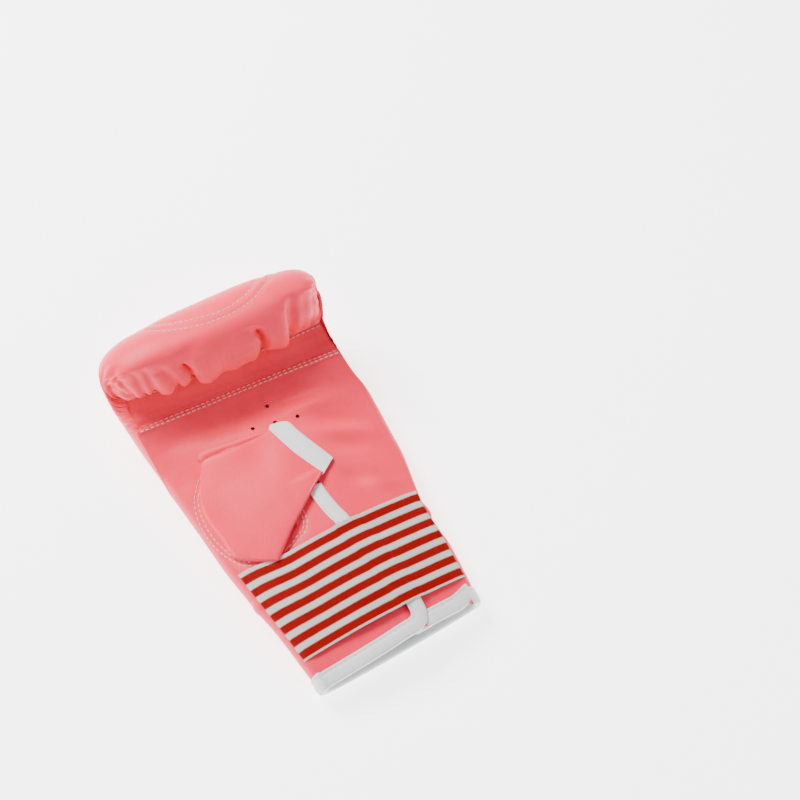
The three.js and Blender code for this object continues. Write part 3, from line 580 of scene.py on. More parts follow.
# %% Grooves along paths
def path_distance(a, b, path):
    """Distance of places (a, b) from a path of points, and how far along it they lie, 0 to 1."""
    path = np.array(path, float)
    lengths = np.hypot(*np.diff(path, axis=0).T)
    before = np.concatenate([[0.0], np.cumsum(lengths)])
    best = np.full(np.shape(a), 1e9)
    share = np.zeros(np.shape(a))
    for index, length in enumerate(lengths):
        run = (path[index + 1] - path[index]) / length
        along = np.clip((a - path[index, 0]) * run[0] + (b - path[index, 1]) * run[1], 0, length)
        gap = np.hypot(a - path[index, 0] - along * run[0], b - path[index, 1] - along * run[1])
        closer = gap < best
        best = np.where(closer, gap, best)
        share = np.where(closer, (before[index] + along) / before[-1], share)
    return best, share


def rounded(path, steps=8):
    """Smooth curve through a path of a few points."""
    path = np.array(path, float)
    position = np.linspace(0, len(path) - 1, (len(path) - 1) * steps + 1)
    return np.stack([curve_at(path[:, column], position) for column in range(2)], axis=-1)


def fold_depth(a, b, folds):
    """Sum of folds, each a path with a depth at its start and end and a width."""
    total = np.zeros(np.shape(a))
    for path, first, last, width in folds:
        gap, share = path_distance(a, b, rounded(path))
        total += (first + (last - first) * share) * bell(gap, width) * smooth(0, 0.08, 1 - share)
    return total


# %% Stitched lines of the quilting
# Across the skin and along it, both in millimetres. Two long lines run up the back of the hand
# and join in a wide bow over the roll, each of them double.
QUILT_LINE = [
    (-61, 4), (-62, 60), (-60, 120), (-57, 170), (-48, 205), (-37, 229), (-26, 244), (-10, 251),
    (8, 253.5), (22, 252.5), (34, 248), (45, 238), (53, 222), (56, 200), (56, 165), (55, 110),
    (54, 60), (55, 4),
]
QUILT_INNER = [
    (-56, 4), (-57, 60), (-55, 120), (-52, 170), (-43, 203), (-31, 228), (-22, 238.5),
    (-8, 245.5), (8, 248.5), (21, 247), (30, 242.5), (39, 233), (46, 220), (50, 200), (50.5, 165),
    (50, 110), (49, 60), (50, 4),
]

# %% Folds of the pad
# Gathers of the roll run from the finger seam up the skin: a path, the depth at the seam and at
# the far end, and the width. Below zero is a groove and above zero a ridge.
GATHERS = [
    ([(-76, 286), (-82, 268), (-86, 254), (-87, 242)], -1.4, -0.5, 2.4),
    ([(-71, 288), (-75, 272), (-77, 260), (-75, 246)], -2.0, -0.6, 2.4),
    ([(-67, 296), (-67, 284), (-68, 272), (-67, 260), (-63, 248)], -3.0, -0.6, 2.3),
    ([(-61, 308), (-59, 290), (-57, 276), (-58, 262)], -3.6, -0.3, 2.2),
    ([(-54, 308), (-52, 290), (-50.5, 279), (-51, 266)], -4.2, -0.4, 2.3),
    ([(-38.5, 308), (-38, 294), (-38, 284), (-42, 272)], -5.5, -0.5, 2.4),
    ([(-27, 310), (-26.5, 296), (-26.5, 284), (-30, 276)], -9.0, -4.0, 1.7),
    ([(-29, 306), (-29, 292), (-30, 280)], -3.6, -0.8, 5.0),
    ([(-28, 280), (-26.5, 273), (-20, 266), (-10, 262)], -2.6, -0.1, 4.5),
    ([(-8, 306), (-7, 294), (-9, 282)], -0.8, -0.1, 5.0),
    ([(24, 310), (24, 296), (25, 283), (22, 274)], -10.0, -4.5, 1.8),
    ([(22, 306), (22, 292), (21, 280)], -3.8, -0.8, 5.0),
    ([(23, 278), (18, 273), (10, 271)], -2.4, -0.2, 3.4),
    ([(47, 308), (46.5, 290), (49, 274), (50, 258)], -6.5, -0.6, 3.6),
    ([(57, 308), (56, 290), (58, 276), (62, 262)], -0.6, -0.2, 3.4),
    ([(65, 306), (66, 286), (69, 268), (72, 255)], -1.2, -0.4, 3.0),
]
# Bulges of the skin between the gathers
BULGES = [
    ([(-45, 300), (-45, 285), (-45, 276)], 2.6, 0.2, 5.0),
    ([(-33, 300), (-33, 288)], 1.2, 0.2, 3.5),
    ([(-17, 298), (-16, 284), (-12, 272)], 2.8, 0.4, 7.0),
    ([(2, 298), (2, 284)], 1.6, 0.2, 7.0),
    ([(17, 298), (16, 284)], 1.8, 0.3, 5.0),
    ([(39, 300), (39, 284), (40, 268)], 3.2, 0.5, 6.0),
]
# Pleats of the two end caps fan out from the end of the finger seam: the length along the skin
# where each one lies at the cap's edge, how far across it starts, its depth and its width
CAP_PLEATS = [
    (150.0, 84.0, 0.9, 3.0),
    (160.0, 82.0, 1.5, 3.2),
    (171.0, 80.0, 1.7, 3.4),
    (182.0, 80.0, 1.5, 3.6),
    (193.0, 78.0, 2.0, 3.8),
    (206.0, 77.0, 2.0, 4.2),
    (219.0, 75.0, 1.6, 3.8),
    (231.0, 72.0, 2.2, 4.0),
    (243.0, 68.0, 2.0, 3.6),
    (254.0, 66.0, 2.2, 3.4),
    (264.0, 66.0, 2.0, 3.0),
    (273.0, 68.0, 2.0, 2.8),
    (283.0, 70.0, 1.6, 2.6),
]


def cap_pleats(across, run):
    total = np.zeros(np.shape(across))
    reach = np.abs(across)
    share, shift = side_value(across, (1.0, 0.6)), side_value(across, (0.0, 4.5))
    for start_run, edge, depth, width in CAP_PLEATS:
        drift = 0.25 * (reach - edge) * np.sin(start_run)
        grown = smooth(edge - 8, edge + 10, reach)
        total -= depth * share * grown * bell(run - start_run - shift - drift, width)
    return total


def quilting(across, run):
    """Shallow trough along the double stitched lines, with the padding rising between them."""
    outer, _ = path_distance(across, run, rounded(QUILT_LINE, 4))
    inner, _ = path_distance(across, run, rounded(QUILT_INNER, 4))
    both = -0.55 * bell(outer, 1.5) - 0.55 * bell(inner, 1.5)
    return both - 0.5 * bell(np.minimum(outer, inner), 7)


FAN_FLATTENS = 0.85
SEAM_PUFF = 1.6


def pad_relief(across, run):
    """All folds of the skin. They fade out at its sewn edges."""
    relief = fold_depth(across, run, GATHERS) + fold_depth(across, run, BULGES)
    relief += cap_pleats(across, run)
    # The skin is fanned together at the ends of the finger seam, where folds have no room
    relief *= 1 - FAN_FLATTENS * smooth(66, 84, np.abs(across)) * smooth(256, 278, run)
    relief += quilting(across, run)
    seam_roll = SEAM_PUFF * bell(run - 7, 6) * smooth(0, 5, run)
    near_seam = smooth(0, 5, PAD_RUN - run)
    rim_pinch = smooth(0, 5, HALF_ROUND - np.abs(across))
    return (relief + seam_roll) * near_seam * (0.25 + 0.75 * rim_pinch)


def pad_skin(across, run):
    """Skin of the pad with all its folds, and how far these draw it in."""
    a = np.clip(across, -HALF_ROUND + 0.2, HALF_ROUND - 0.2)
    r = np.clip(run, 0.3, PAD_RUN - 0.3)
    normal = outward(pad_base, a, r, 0.15, 0.25, -1)
    relief = pad_relief(across, run)[..., None]
    skin = pad_base(across, run) + normal * relief
    skin[..., 2] = np.maximum(skin[..., 2], 0.0)
    return skin, normal * np.minimum(relief, 0)


check_normal = outward(pad_base, np.array([0.0]), np.array([60.0]), 0.15, 0.25, -1)
print("the skin's outward direction under the hand:", check_normal.round(2).tolist())

# %% Padded back
# Near the finger seam and inside the roll's end caps the inner face is turned-in skin, no lining
SEAM_ALLOWANCE = 0.9
CAP_START = 0.84
CAP_FROM = 0.55


def pad_point(u, v, depth):
    across = u * HALF_ROUND
    run = v * PAD_RUN
    skin, pulled = pad_skin(across, run)
    inside = pad_inside(across, run) + pulled
    return skin + (inside - skin) * depth[:, None]


pad_mesh = sheet_bmesh(200, 236, pad_point, inner_slot=1)
flow = pad_mesh.loops.layers.uv["flow"]
for face in pad_mesh.faces:
    flow_across, flow_along = face.loops[0][flow].uv
    if flow_along > SEAM_ALLOWANCE or (abs(flow_across) > CAP_START and flow_along > CAP_FROM):
        face.material_index = 0
padded_back = finish_mesh("pad_and_roll", pad_mesh, [PINK, DARK])
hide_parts("padded_back")
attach(padded_back, "root")

# %% [markdown]
# ## Palm
#
# The palm panel is one sheet of lined vinyl. It is sewn to the pad along both flanks, where it
# wraps a little way round the side, and it has an oval hole for the thumb, five small air holes
# and a slit that opens the cuff. It lies loose, so it has a hollow under the finger seam and
# soft ridges where it folded in wear. Its height is a function of the place on the palm, and
# everything sewn on it asks the same function.

# %% Shape of the palm
PALM_ROWS = np.array([
    (0.00, 0.70), (0.12, 0.79), (0.28, 0.89), (0.45, 0.97),
    (0.65, 1.00), (0.82, 0.98), (0.93, 1.00), (1.00, 1.07),
])
# Hollows and ridges: across, along from the hem, half length and half width, turn, height
PALM_FOLDS = [
    (-16, 168, 44, 9, -3, -5.4),
    (24, 168, 22, 7, 0, -2.2),
    (35, 155.5, 18, 4.6, -7, 2.3),
    (44, 139, 17, 5.0, -25, -2.6),
    (41, 131, 17, 4.6, -25, 2.4),
    (39, 120, 12, 4.6, -30, -2.3),
    (38, 106, 13, 4.6, -62, 2.0),
    (29, 99, 10, 4.4, -52, -2.0),
    (43, 88, 13, 4.6, -20, 1.6),
    (-50, 158, 12, 12, 8, 0.8),
]
SLIT_ROWS = np.array([
    (0.00, 0.440), (0.05, 0.450), (0.11, 0.450), (0.26, 0.370),
    (0.46, 0.215), (0.55, 0.165), (0.62, 0.165),
])
SLIT_TOP = HEM + 0.62 * PALM_LENGTH
SLIT_GAP = 1.8
# The sheet's own slit lies this far under the thumb flap's binding
SLIT_UNDER = 1.8
BINDING_WIDTH = 8.0
BINDING_THICKNESS = 0.9
TRIM_LIFT = 0.4
PALM_DOME = 2.2


def turned(x, y, angle):
    """The same place along and across axes that are turned by an angle."""
    return x * math.cos(angle) + y * math.sin(angle), y * math.cos(angle) - x * math.sin(angle)


def palm_height(across, along):
    rim, _, up, _ = rim_at(along)
    crown = curve_along(PALM_ROWS, 1, (along - HEM) / PALM_LENGTH) * PALM_HEIGHT
    reach = np.minimum(np.abs(across) / rim, 1)
    dome = 1 - reach**PALM_DOME
    height = up + (crown - up) * dome
    for fold_across, fold_along, length, width, turn, rise in PALM_FOLDS:
        place = across - fold_across, along - HEM - fold_along
        run, over = turned(*place, math.radians(turn))
        height = height + rise * bell(run, length) * bell(over, width) * dome**0.6
    return height - RESTING_FLAT


def cover_height(across, along):
    """Height of whatever lies on top there: the palm, or its edge that wraps round the side."""
    rim, side, up, low = rim_at(along)
    past = np.clip((np.abs(across) - rim) / (side - rim), 0, 1)
    wrapped = low + (up - low) * np.sqrt(1 - past**2) - RESTING_FLAT
    return np.where(np.abs(across) <= rim, palm_height(across, along), wrapped)


def slit_across(along):
    share = (along - HEM) / PALM_LENGTH
    return curve_along(SLIT_ROWS, 1, share) * rim_at(along)[0]


def binding_rise(across, along):
    """What the slit's binding adds to the height of the palm, for what lies over it."""
    edge = slit_across(along) - SLIT_GAP / 2
    inside = smooth(edge - BINDING_WIDTH - 5, edge - BINDING_WIDTH - 1, across)
    outside = 1 - smooth(edge + SLIT_GAP, edge + SLIT_GAP + 4, across)
    below = 1 - smooth(SLIT_TOP, SLIT_TOP + 4, along)
    return (TRIM_LIFT + BINDING_THICKNESS) * inside * outside * below


# %% Palm sheet
HOLE_HALF_ACROSS = 21.0
HOLE_HALF_ALONG = 29.0
HOLE_TURN = math.radians(6)
HOLE_DRAWN = 0.84
HOLE_CENTRE = (-0.52 * rim_at(HEM + 0.627 * PALM_LENGTH)[0], HEM + 0.627 * PALM_LENGTH)
PALM_SKIN = 1.3
PALM_PROUD = 0.9
EDGE_OVERLAP = 1.2
THUMB_OVERLAP = 2.6
WRAP_START = 118.0
WRAP_FULL = 90.0
VENT_RADIUS = 1.2
FLAP_HEM = HEM + 2 * BINDING_THICKNESS
PALM_RUN = SEAM_LINE - 0.15 - FLAP_HEM
VENT_CENTRE = (0.105 * rim_at(HEM + 0.86 * PALM_LENGTH)[0], HEM + 0.86 * PALM_LENGTH)
VENT_PITCH = 13.5
VENT_TURN = math.radians(-8)
VENTS = [VENT_CENTRE] + [
    (VENT_CENTRE[0] + VENT_PITCH * math.cos(VENT_TURN + quarter * math.pi / 2),
     VENT_CENTRE[1] + VENT_PITCH * math.sin(VENT_TURN + quarter * math.pi / 2))
    for quarter in range(4)
]


def hole_reach(across, along):
    """How far a place lies from the middle of the thumb hole, 1 being its edge."""
    run, over = turned(across - HOLE_CENTRE[0], along - HOLE_CENTRE[1], HOLE_TURN)
    return np.hypot(run / HOLE_HALF_ACROSS, over / HOLE_HALF_ALONG)


# Stitching round the stall, across and along the straight pattern
OVAL_SEAM = [
    (-30, 92), (-46.8, 87.6), (-54.8, 80.8), (-59.3, 75), (-62, 65), (-62.1, 53.1), (-59.5, 41.1),
    (-55.1, 32.7), (-49, 28.2), (-38, 23.6), (-28, 23.4), (-19.7, 26.3), (-12.5, 29.4),
    (-8.6, 35.5), (-8.2, 44), (-9, 62), (-15, 82), (-30, 92),
]
OVAL_GAP = 2.2


def inset_path(path, inset):
    """The same closed path drawn a little inside."""
    path = rounded(path, 10)
    way = np.gradient(path, axis=0)
    way /= np.linalg.norm(way, axis=1, keepdims=True) + 1e-9
    return path + inset * np.stack([-way[:, 1], way[:, 0]], axis=-1)


def oval_groove(across, along):
    """Trough along the stitching round the stall, which draws the palm down."""
    near = (hole_reach(across, along) < 1.9) & (hole_reach(across, along) > 0.9)
    groove = np.zeros(np.shape(across))
    if np.any(near):
        gap, _ = path_distance(across[near], along[near], inset_path(OVAL_SEAM, OVAL_GAP / 2)[::3])
        groove[near] = -0.45 * bell(gap, 2.2)
    return groove


def palm_place(u, v):
    """Place on the palm from even grid values. Its flanks wrap round the side of the glove."""
    along = FLAP_HEM + v * PALM_RUN
    rim, side, _, _ = rim_at(along)
    wrap = 1 - smooth(WRAP_FULL, WRAP_START, along)
    thumb_side = THUMB_OVERLAP * (u < 0) * smooth(80, 110, along)
    edge = rim + (EDGE_OVERLAP + thumb_side) * (1 - wrap) + (side - rim) * wrap
    return u * edge, along, wrap


def round_vents(across, along):
    """Moves the grid's corners at the edge of each air hole onto its circle."""
    for x, y in VENTS:
        gap = np.hypot(across - x, along - y)
        close = (gap < 1.75 * VENT_RADIUS) & (gap > 0.05)
        pull = np.where(close, VENT_RADIUS / np.maximum(gap, 0.05), 1.0)
        across = np.where(close, x + (across - x) * pull, across)
        along = np.where(close, y + (along - y) * pull, along)
    return across, along


def palm_point(u, v, depth):
    across, along, wrap = palm_place(u, v)
    across, along = round_vents(across, along)
    rim, side, _, _ = rim_at(along)
    reach = np.abs(across)
    past = np.clip((reach - rim) / (side - rim), 0, 1)
    covered = np.where(reach <= rim, reach, rim + (side - rim) * past * wrap)
    height = cover_height(np.sign(across) * covered, along) + oval_groove(across, along)
    height = height - 0.5 * (1 - wrap) * smooth(0.96, 1.0, np.abs(u))
    # Where the sheet wraps round the side of the glove it stands a little proud
    lean = np.arcsin(past)
    proud = PALM_PROUD * smooth(0.75, 0.97, np.abs(u)) * wrap
    out = proud - depth * (PALM_SKIN - 0.3 * np.abs(u))
    x = across + np.sign(across) * np.sin(lean) * out
    return settle(x, along, height + np.cos(lean) * out)


def palm_keep(u, v):
    """Leaves out the thumb hole, the air holes and the slit."""
    across, along, _ = palm_place(u, v)
    kept = hole_reach(across, along) > HOLE_DRAWN
    for x, y in VENTS:
        kept &= np.hypot(across - x, along - y) > VENT_RADIUS
    from_slit = np.abs(across - slit_across(along) + SLIT_UNDER)
    return kept & ~((along < SLIT_TOP) & (from_slit < SLIT_GAP / 2 + 0.2))


palm_mesh = sheet_bmesh(130, 176, palm_point, inner_slot=1, keep=palm_keep)
palm = finish_mesh("palm_leather", palm_mesh, [PINK, LINING])
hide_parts("palm_panel")
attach(palm, "root")

# %% [markdown]
# ## Finger band
#
# Between the two finger seams runs a narrow band that the curled fingers press against. Its
# lower edge is folded under and sewn over the palm with two rows of stitches, which makes a low
# welt there, and its upper edge vanishes under the gathers.

# %% Finger band
FINGER_ROWS = np.array([(0.0, 0.468), (0.3, 0.482), (0.6, 0.515), (1.0, 0.5415)])
WELT_WIDTH = 3.2
WELT_HEIGHT = 1.1
CREASE_DEPTH = 1.2
BAND_END = UPPER_SEAM + 2.0
BAND_RUN = BAND_END - SEAM_LINE + WELT_WIDTH
BAND_HALF = 0.81 * HALF_FIST


def band_point(u, v, depth):
    along = SEAM_LINE - WELT_WIDTH + v * BAND_RUN
    share = np.clip((along - SEAM_LINE) / (UPPER_SEAM - SEAM_LINE), 0, 1)
    rim, _, rim_up, _ = rim_at(np.full(np.shape(u), SEAM_LINE))
    half = rim + (BAND_HALF - rim) * share + EDGE_OVERLAP
    half = half + THUMB_OVERLAP * (u < 0) * (1 - 0.5 * share)
    ends = smooth(0.55, 1.0, np.abs(u)) * share
    across = u * half + np.sign(u) * side_value(u, SEAM_ENDS_OUT) * ends
    band = curve_along(FINGER_ROWS, 1, share) * FIST_HEIGHT - RESTING_FLAT
    rim_up = rim_up - RESTING_FLAT
    band = band + (rim_up - band) * np.abs(u) ** 6 * (1 - share)
    band = band - 0.8 * smooth(0.95, 1.0, np.abs(u))
    palm_top = palm_height(across, np.minimum(along, LOWER_SEAM))
    over = smooth(SEAM_LINE - 0.5, SEAM_LINE + 2.5, along)
    welt = WELT_HEIGHT * smooth(0, 0.8, along - SEAM_LINE + WELT_WIDTH)
    welt += 0.35 * bell(along - SEAM_LINE + WELT_WIDTH / 2, 0.8)
    height = (palm_top + welt) * (1 - over) + (band + 0.5) * over
    height -= CREASE_DEPTH * bell(along - SEAM_LINE - 1.2, 1.3)
    height -= depth * (1.0 + 0.6 * over)
    return settle(across, along + ends * side_value(u, SEAM_ENDS_UP), height)


finger_band = finish_mesh("finger_band", sheet_bmesh(150, 40, band_point), [PINK])
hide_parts("finger_panel")
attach(finger_band, "root")

# %% [markdown]
# ## Thumb stall
#
# The stall is a short sleeve sewn round the thumb hole. Here it is pressed flat over the palm
# and points away from the thumb, so its outer layer is a flat four-cornered shape between two
# folds, with the longer inner layer showing past its mouth as a white strip. The outer layer is
# blended from its four edges, which follow the real ones, and the inner layer lies under it.

# %% Edges of the stall
# Places on the palm in millimetres, across and along the straight pattern
STALL_TOP = [(-44.3, 92.2), (-40, 93.6), (-24.9, 92.6), (-8.9, 92.7), (0.6, 94.5)]
STALL_MOUTH = [(0.6, 94.5), (5.2, 75.5), (13.5, 54.8)]
STALL_LOWER = [(-35.4, 21.1), (-33.2, 23.2), (-15.3, 35.7), (-1.0, 45.0), (13.5, 54.8)]
STALL_LEFT = [
    (-44.3, 92.2), (-51.9, 81), (-57.7, 69.6), (-58.4, 60.0), (-57.2, 48.5), (-57.0, 40.5),
    (-54.4, 34.8), (-44.5, 26.6), (-35.4, 21.1),
]
# The inner layer: where it is sewn on the far side of the hole, and its edge past the mouth
STALL_RIGHT = [
    (-42.3, 91.6), (-26, 93), (-12, 85), (-6, 70), (-7, 52), (-17, 34), (-35.4, 21.1),
]
STALL_INNER_MOUTH = [(-1.2, 93.2), (-0.4, 88), (2.6, 76), (6.5, 66), (10.5, 57.5)]


def path_at(path, share):
    path = np.array(path, float)
    position = np.clip(share, 0, 1) * (len(path) - 1)
    return np.stack([curve_at(path[:, column], position) for column in range(2)], axis=-1)


def stall_patch(side, way):
    """Place between the four edges: side 0 is the top fold, way 0 is the seam on the left."""
    left, mouth = path_at(STALL_LEFT, side), path_at(STALL_MOUTH, side)
    top, lower = path_at(STALL_TOP, way), path_at(STALL_LOWER, way)
    a, b = side[..., None], way[..., None]
    corner = [path_at(edge, np.array(end)) for edge, end in
              ((STALL_TOP, 0.0), (STALL_TOP, 1.0), (STALL_LOWER, 0.0), (STALL_LOWER, 1.0))]
    flat = (1 - a) * (1 - b) * corner[0] + (1 - a) * b * corner[1]
    flat = flat + a * (1 - b) * corner[2] + a * b * corner[3]
    return (1 - b) * left + b * mouth + (1 - a) * top + a * lower - flat


print("middle of the stall:", stall_patch(np.array(0.5), np.array(0.5)).round(1).tolist())

# %% Stall sleeve
STALL_WALL = 1.2
STALL_FOLD = 5.5
STALL_LENGTH = 52.0
STALL_UNDER = 0.15
STALL_HEIGHT = 4.4
STALL_BELLY = 1.4
MOUTH_FLATTER = 1.8
FOLD_SHARE = 0.64
STALL_LIFT = 0.5
BRIDGE = np.linspace(-6, 6, 9)


def stall_floor(across, along):
    """Height under the stall. The sleeve bridges the steps at the edges of the tape below it."""
    bridged = sum(binding_rise(across + step, along) for step in BRIDGE) / len(BRIDGE)
    return cover_height(across, along) + bridged + STALL_LIFT


def stall_rise(side, way):
    """Height of the outer layer over the palm: a round fold at the seam, flatter at the mouth."""
    from_seam = np.clip(way * STALL_LENGTH / STALL_FOLD, 0, 1)
    folded = np.sqrt(1 - (1 - from_seam) ** 2)
    body = STALL_HEIGHT - MOUTH_FLATTER * smooth(0.25, 1.0, way)
    body = body + STALL_BELLY * bell(way - 0.32, 0.28) * bell(side - 0.5, 0.4)
    ends = np.sqrt(np.clip(1 - (np.abs(side - 0.5) * 2) ** 12, 0, 1))
    dent = -0.8 * bell(way - 0.72, 0.12) * bell(side - 0.35, 0.3)
    ripple = 0.35 * np.sin(7 * side + 5 * way) * smooth(0.1, 0.4, way)
    crease = -0.4 * bell(side - 0.96 + 0.16 * way, 0.02) * (1 - smooth(0.05, 0.3, way))
    return folded * (body + dent + ripple + crease) * (FOLD_SHARE + (1 - FOLD_SHARE) * ends)


def stall_place(turn, way):
    """Ring of the sleeve: across, along and height. turn runs 0 to 1 round it."""
    outer_side = np.clip(turn / 0.56, 0, 1)
    inner_side = np.clip((0.97 - turn) / 0.37, 0, 1)
    outer = stall_patch(outer_side, way)
    right = path_at(STALL_RIGHT, inner_side)
    mouth = path_at(STALL_INNER_MOUTH, inner_side)
    inner = right + (mouth - right) * way[..., None]
    layer = np.maximum(1 - smooth(0.56, 0.62, turn), smooth(0.95, 1.0, turn))
    spot = inner + (outer - inner) * layer[..., None]
    x, y = spot[..., 0], spot[..., 1]
    height = STALL_UNDER + (stall_rise(outer_side, way) - STALL_UNDER) * layer
    base = smooth(0, 0.06, way)
    return x, y, stall_floor(x, y) + height * base + STALL_WALL * (1 - base)


def stall_point(u, v, depth):
    x, y, z = stall_place((u + 1) / 2, v)
    return settle(x, y, z)


def open_sheet(columns, rows, point_at):
    """Single sheet of a grid, moved to its place. Its thickness comes from a modifier."""
    bm = bmesh.new()
    bmesh.ops.create_grid(bm, x_segments=columns, y_segments=rows, size=1.0)
    return move_grid(bm, point_at)


def with_wall(piece, wall):
    """Gives a single sheet its thickness, inwards from its outer face."""
    solidify = piece.modifiers.new("wall", "SOLIDIFY")
    solidify.thickness = wall / 1000
    solidify.offset = -1.0
    solidify.use_even_offset = False
    return piece


stall_bm = open_sheet(150, 70, stall_point)
bmesh.ops.remove_doubles(stall_bm, verts=stall_bm.verts, dist=0.00005)
thumb_stall = with_wall(finish_mesh("thumb_sleeve", stall_bm, [PINK]), STALL_WALL)
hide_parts("thumb_stall")
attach(thumb_stall, "root")

# %% Edge of the stall's inner layer
# Along the top of the stall a narrow sliver of the inner layer shows past the outer one.
SLIVER_EDGE = [(-44.6, 96.5), (-41.4, 99.3), (-36.9, 99.7), (-22, 98), (-7.1, 96.3), (0, 94.6)]
SLIVER_HIDDEN = [(-42, 90.5), (-39, 91.5), (-33, 91.5), (-20, 91), (-7, 91), (-2, 92)]


def sliver_point(u, v, depth):
    hidden, edge = path_at(SLIVER_HIDDEN, (u + 1) / 2), path_at(SLIVER_EDGE, (u + 1) / 2)
    spot = hidden + (edge - hidden) * v[..., None]
    x, y = spot[..., 0], spot[..., 1]
    turned = np.sqrt(np.clip(1 - v**8, 0, 1)) * np.sqrt(np.clip(1 - np.abs(u) ** 16, 0, 1))
    lift = 0.5 + 1.1 * smooth(0.2, 0.6, v)
    return settle(x, y, stall_floor(x, y) + 0.1 + lift * turned * (1 - 0.8 * depth))


sliver = finish_mesh("thumb_sleeve_edge", sheet_bmesh(70, 16, sliver_point), [PINK])
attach(sliver, "root")

# %% White edge of the stall's inner layer
# It starts a little under the outer layer's mouth and ends at the inner layer's own edge.
TAPE_OUTER = [(3.0, 97.6), (12.7, 95.5), (15.6, 86), (22.4, 66.3), (23.8, 61.3)]
TAPE_INNER = [(0.5, 94.9), (0.2, 89.0), (2.8, 77.5), (8.0, 62.5), (12.8, 53.8)]


def stall_tape_point(u, v, depth):
    share = (u + 1) / 2
    inner, outer = path_at(TAPE_INNER, v), path_at(TAPE_OUTER, v)
    spot = inner + (outer - inner) * share[..., None]
    x, y = spot[..., 0], spot[..., 1]
    edge_round = np.sqrt(np.clip(1 - (2 * np.clip(share, 0.5, 1) - 1) ** 6, 0, 1))
    height = stall_floor(x, y) + 0.5 + (0.9 + 0.3 * bell(share - 0.7, 0.2)) * edge_round
    return settle(x, y, height - 0.9 * edge_round * depth)


stall_tape = finish_mesh("stall_mouth_tape", sheet_bmesh(26, 60, stall_tape_point), [BINDING])
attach(stall_tape, "root")

# %% [markdown]
# ## Wrist elastic
#
# A wide ribbed elastic crosses the palm side of the wrist. Its stripes run the long way, so they
# are worked out from the sheet's own coordinates: the UV map holds how far across and along the
# band a point lies. A ColorRamp would need one stop for each stripe, so the distance from the
# band's upper edge is repeated by a Modulo, and a Map Range cuts each repeat into red and white.

# %% Elastic material
ELASTIC_WIDTH = 59.0
ELASTIC_THICKNESS = 1.5
FIRST_WHITE = 2.2
RED_SHARE = 0.57
RIB_PITCH = 1.0
RIB_STEP = 0.32
WARP_PITCH = 0.55
WANDER = 0.28
STRIPE_PITCH = 8.5
STRIPE_BLUR = 0.12


def elastic_material():
    material, tree, shader = new_material("striped_elastic")
    band = node(tree, "UVMap", uv_map="band").outputs["UV"]
    parts = node(tree, "SeparateXYZ", {0: band}).outputs
    # The ribs are fine wefts across the band, and the warps run along it
    ribs = maths(tree, "SINE", maths(tree, "MULTIPLY", parts["X"], 2 * math.pi / RIB_PITCH))
    warps = maths(tree, "SINE", maths(tree, "MULTIPLY", parts["Y"], 2 * math.pi / WARP_PITCH))
    # Distance from the upper edge. The yarns wander a little and step in and out with the ribs
    wander = node(tree, "TexNoise", {"Vector": object_place(tree), "Scale": 260.0}).outputs["Fac"]
    wandered = maths(tree, "MULTIPLY_ADD", wander, WANDER, parts["Y"])
    stepped = maths(tree, "MULTIPLY_ADD", ribs, RIB_STEP, wandered)
    shifted = maths(tree, "SUBTRACT", stepped, FIRST_WHITE + WANDER / 2)
    repeated = maths(tree, "MODULO", maths(tree, "ADD", shifted, STRIPE_PITCH), STRIPE_PITCH)
    white = node(tree, "MapRange", {
        "Value": repeated,
        "From Min": RED_SHARE * STRIPE_PITCH - STRIPE_BLUR,
        "From Max": RED_SHARE * STRIPE_PITCH + STRIPE_BLUR,
    }, interpolation_type="SMOOTHSTEP").outputs["Result"]
    stripe = node(tree, "Mix", {
        "Factor": white, "A": (*linear(158, 0, 0), 1), "B": (*linear(226, 223, 214), 1),
    }, data_type="RGBA").outputs["Result"]
    # Height of the weave. It also darkens the yarns' colour in its hollows, as painted shade
    weave = maths(tree, "MULTIPLY_ADD", ribs, 0.6, maths(tree, "MULTIPLY", ribs, warps))
    shade = node(tree, "MapRange", {
        "Value": weave, "From Min": -1.6, "From Max": 1.2, "To Min": 0.55, "To Max": 1.0,
    }).outputs["Result"]
    grey = node(tree, "CombineColor", {"Red": shade, "Green": shade, "Blue": shade})
    # The painted shade of the weave's hollows multiplies the stripes' colour
    shaded = node(tree, "Mix", {
        "Factor": 1.0, "A": stripe, "B": grey.outputs["Color"],
    }, data_type="RGBA", blend_type="MULTIPLY")
    feed(tree, shader, {
        "Base Color": shaded.outputs["Result"],
        "Normal": bumped(tree, weave, 0.55, 0.0003),
        "Roughness": 0.95,
        "Specular IOR Level": 0.12,
    })
    return material


ELASTIC = elastic_material()

# %% Elastic band
ELASTIC_MIDDLE = -7.4
ELASTIC_SLANT = 3.0
ELASTIC_LIFT = 0.7
ELASTIC_CORNER = 4.5
ELASTIC_SEWN = 3.4
ELASTIC_BOW = 1.3
ELASTIC_WAVE = 0.35
ELASTIC_HALF = 57.0


def elastic_point(u, v, depth):
    straight = ELASTIC_MIDDLE + (v - 0.5) * ELASTIC_WIDTH
    along = straight - u / 2 * ELASTIC_SLANT + ELASTIC_CORNER * smooth(0.45, 1.0, -u) * v**1.5
    half = rim_at(straight)[0] + ELASTIC_SEWN - 2.4 * (u > 0) * v
    wave = ELASTIC_WAVE * np.sin(2.1 * straight / 8 + 4 * u) * (1 - np.abs(u))
    across = u * half
    sewn = smooth(0.90, 0.97, np.abs(u))
    height = cover_height(across, along) + binding_rise(across, along) + ELASTIC_LIFT
    height += ELASTIC_BOW * smooth(0.80, 0.0, np.abs(u)) + wave * (1 - sewn)
    height += ELASTIC_THICKNESS * (1 - depth) * (1 - 0.35 * sewn)
    return settle(across, along, height)


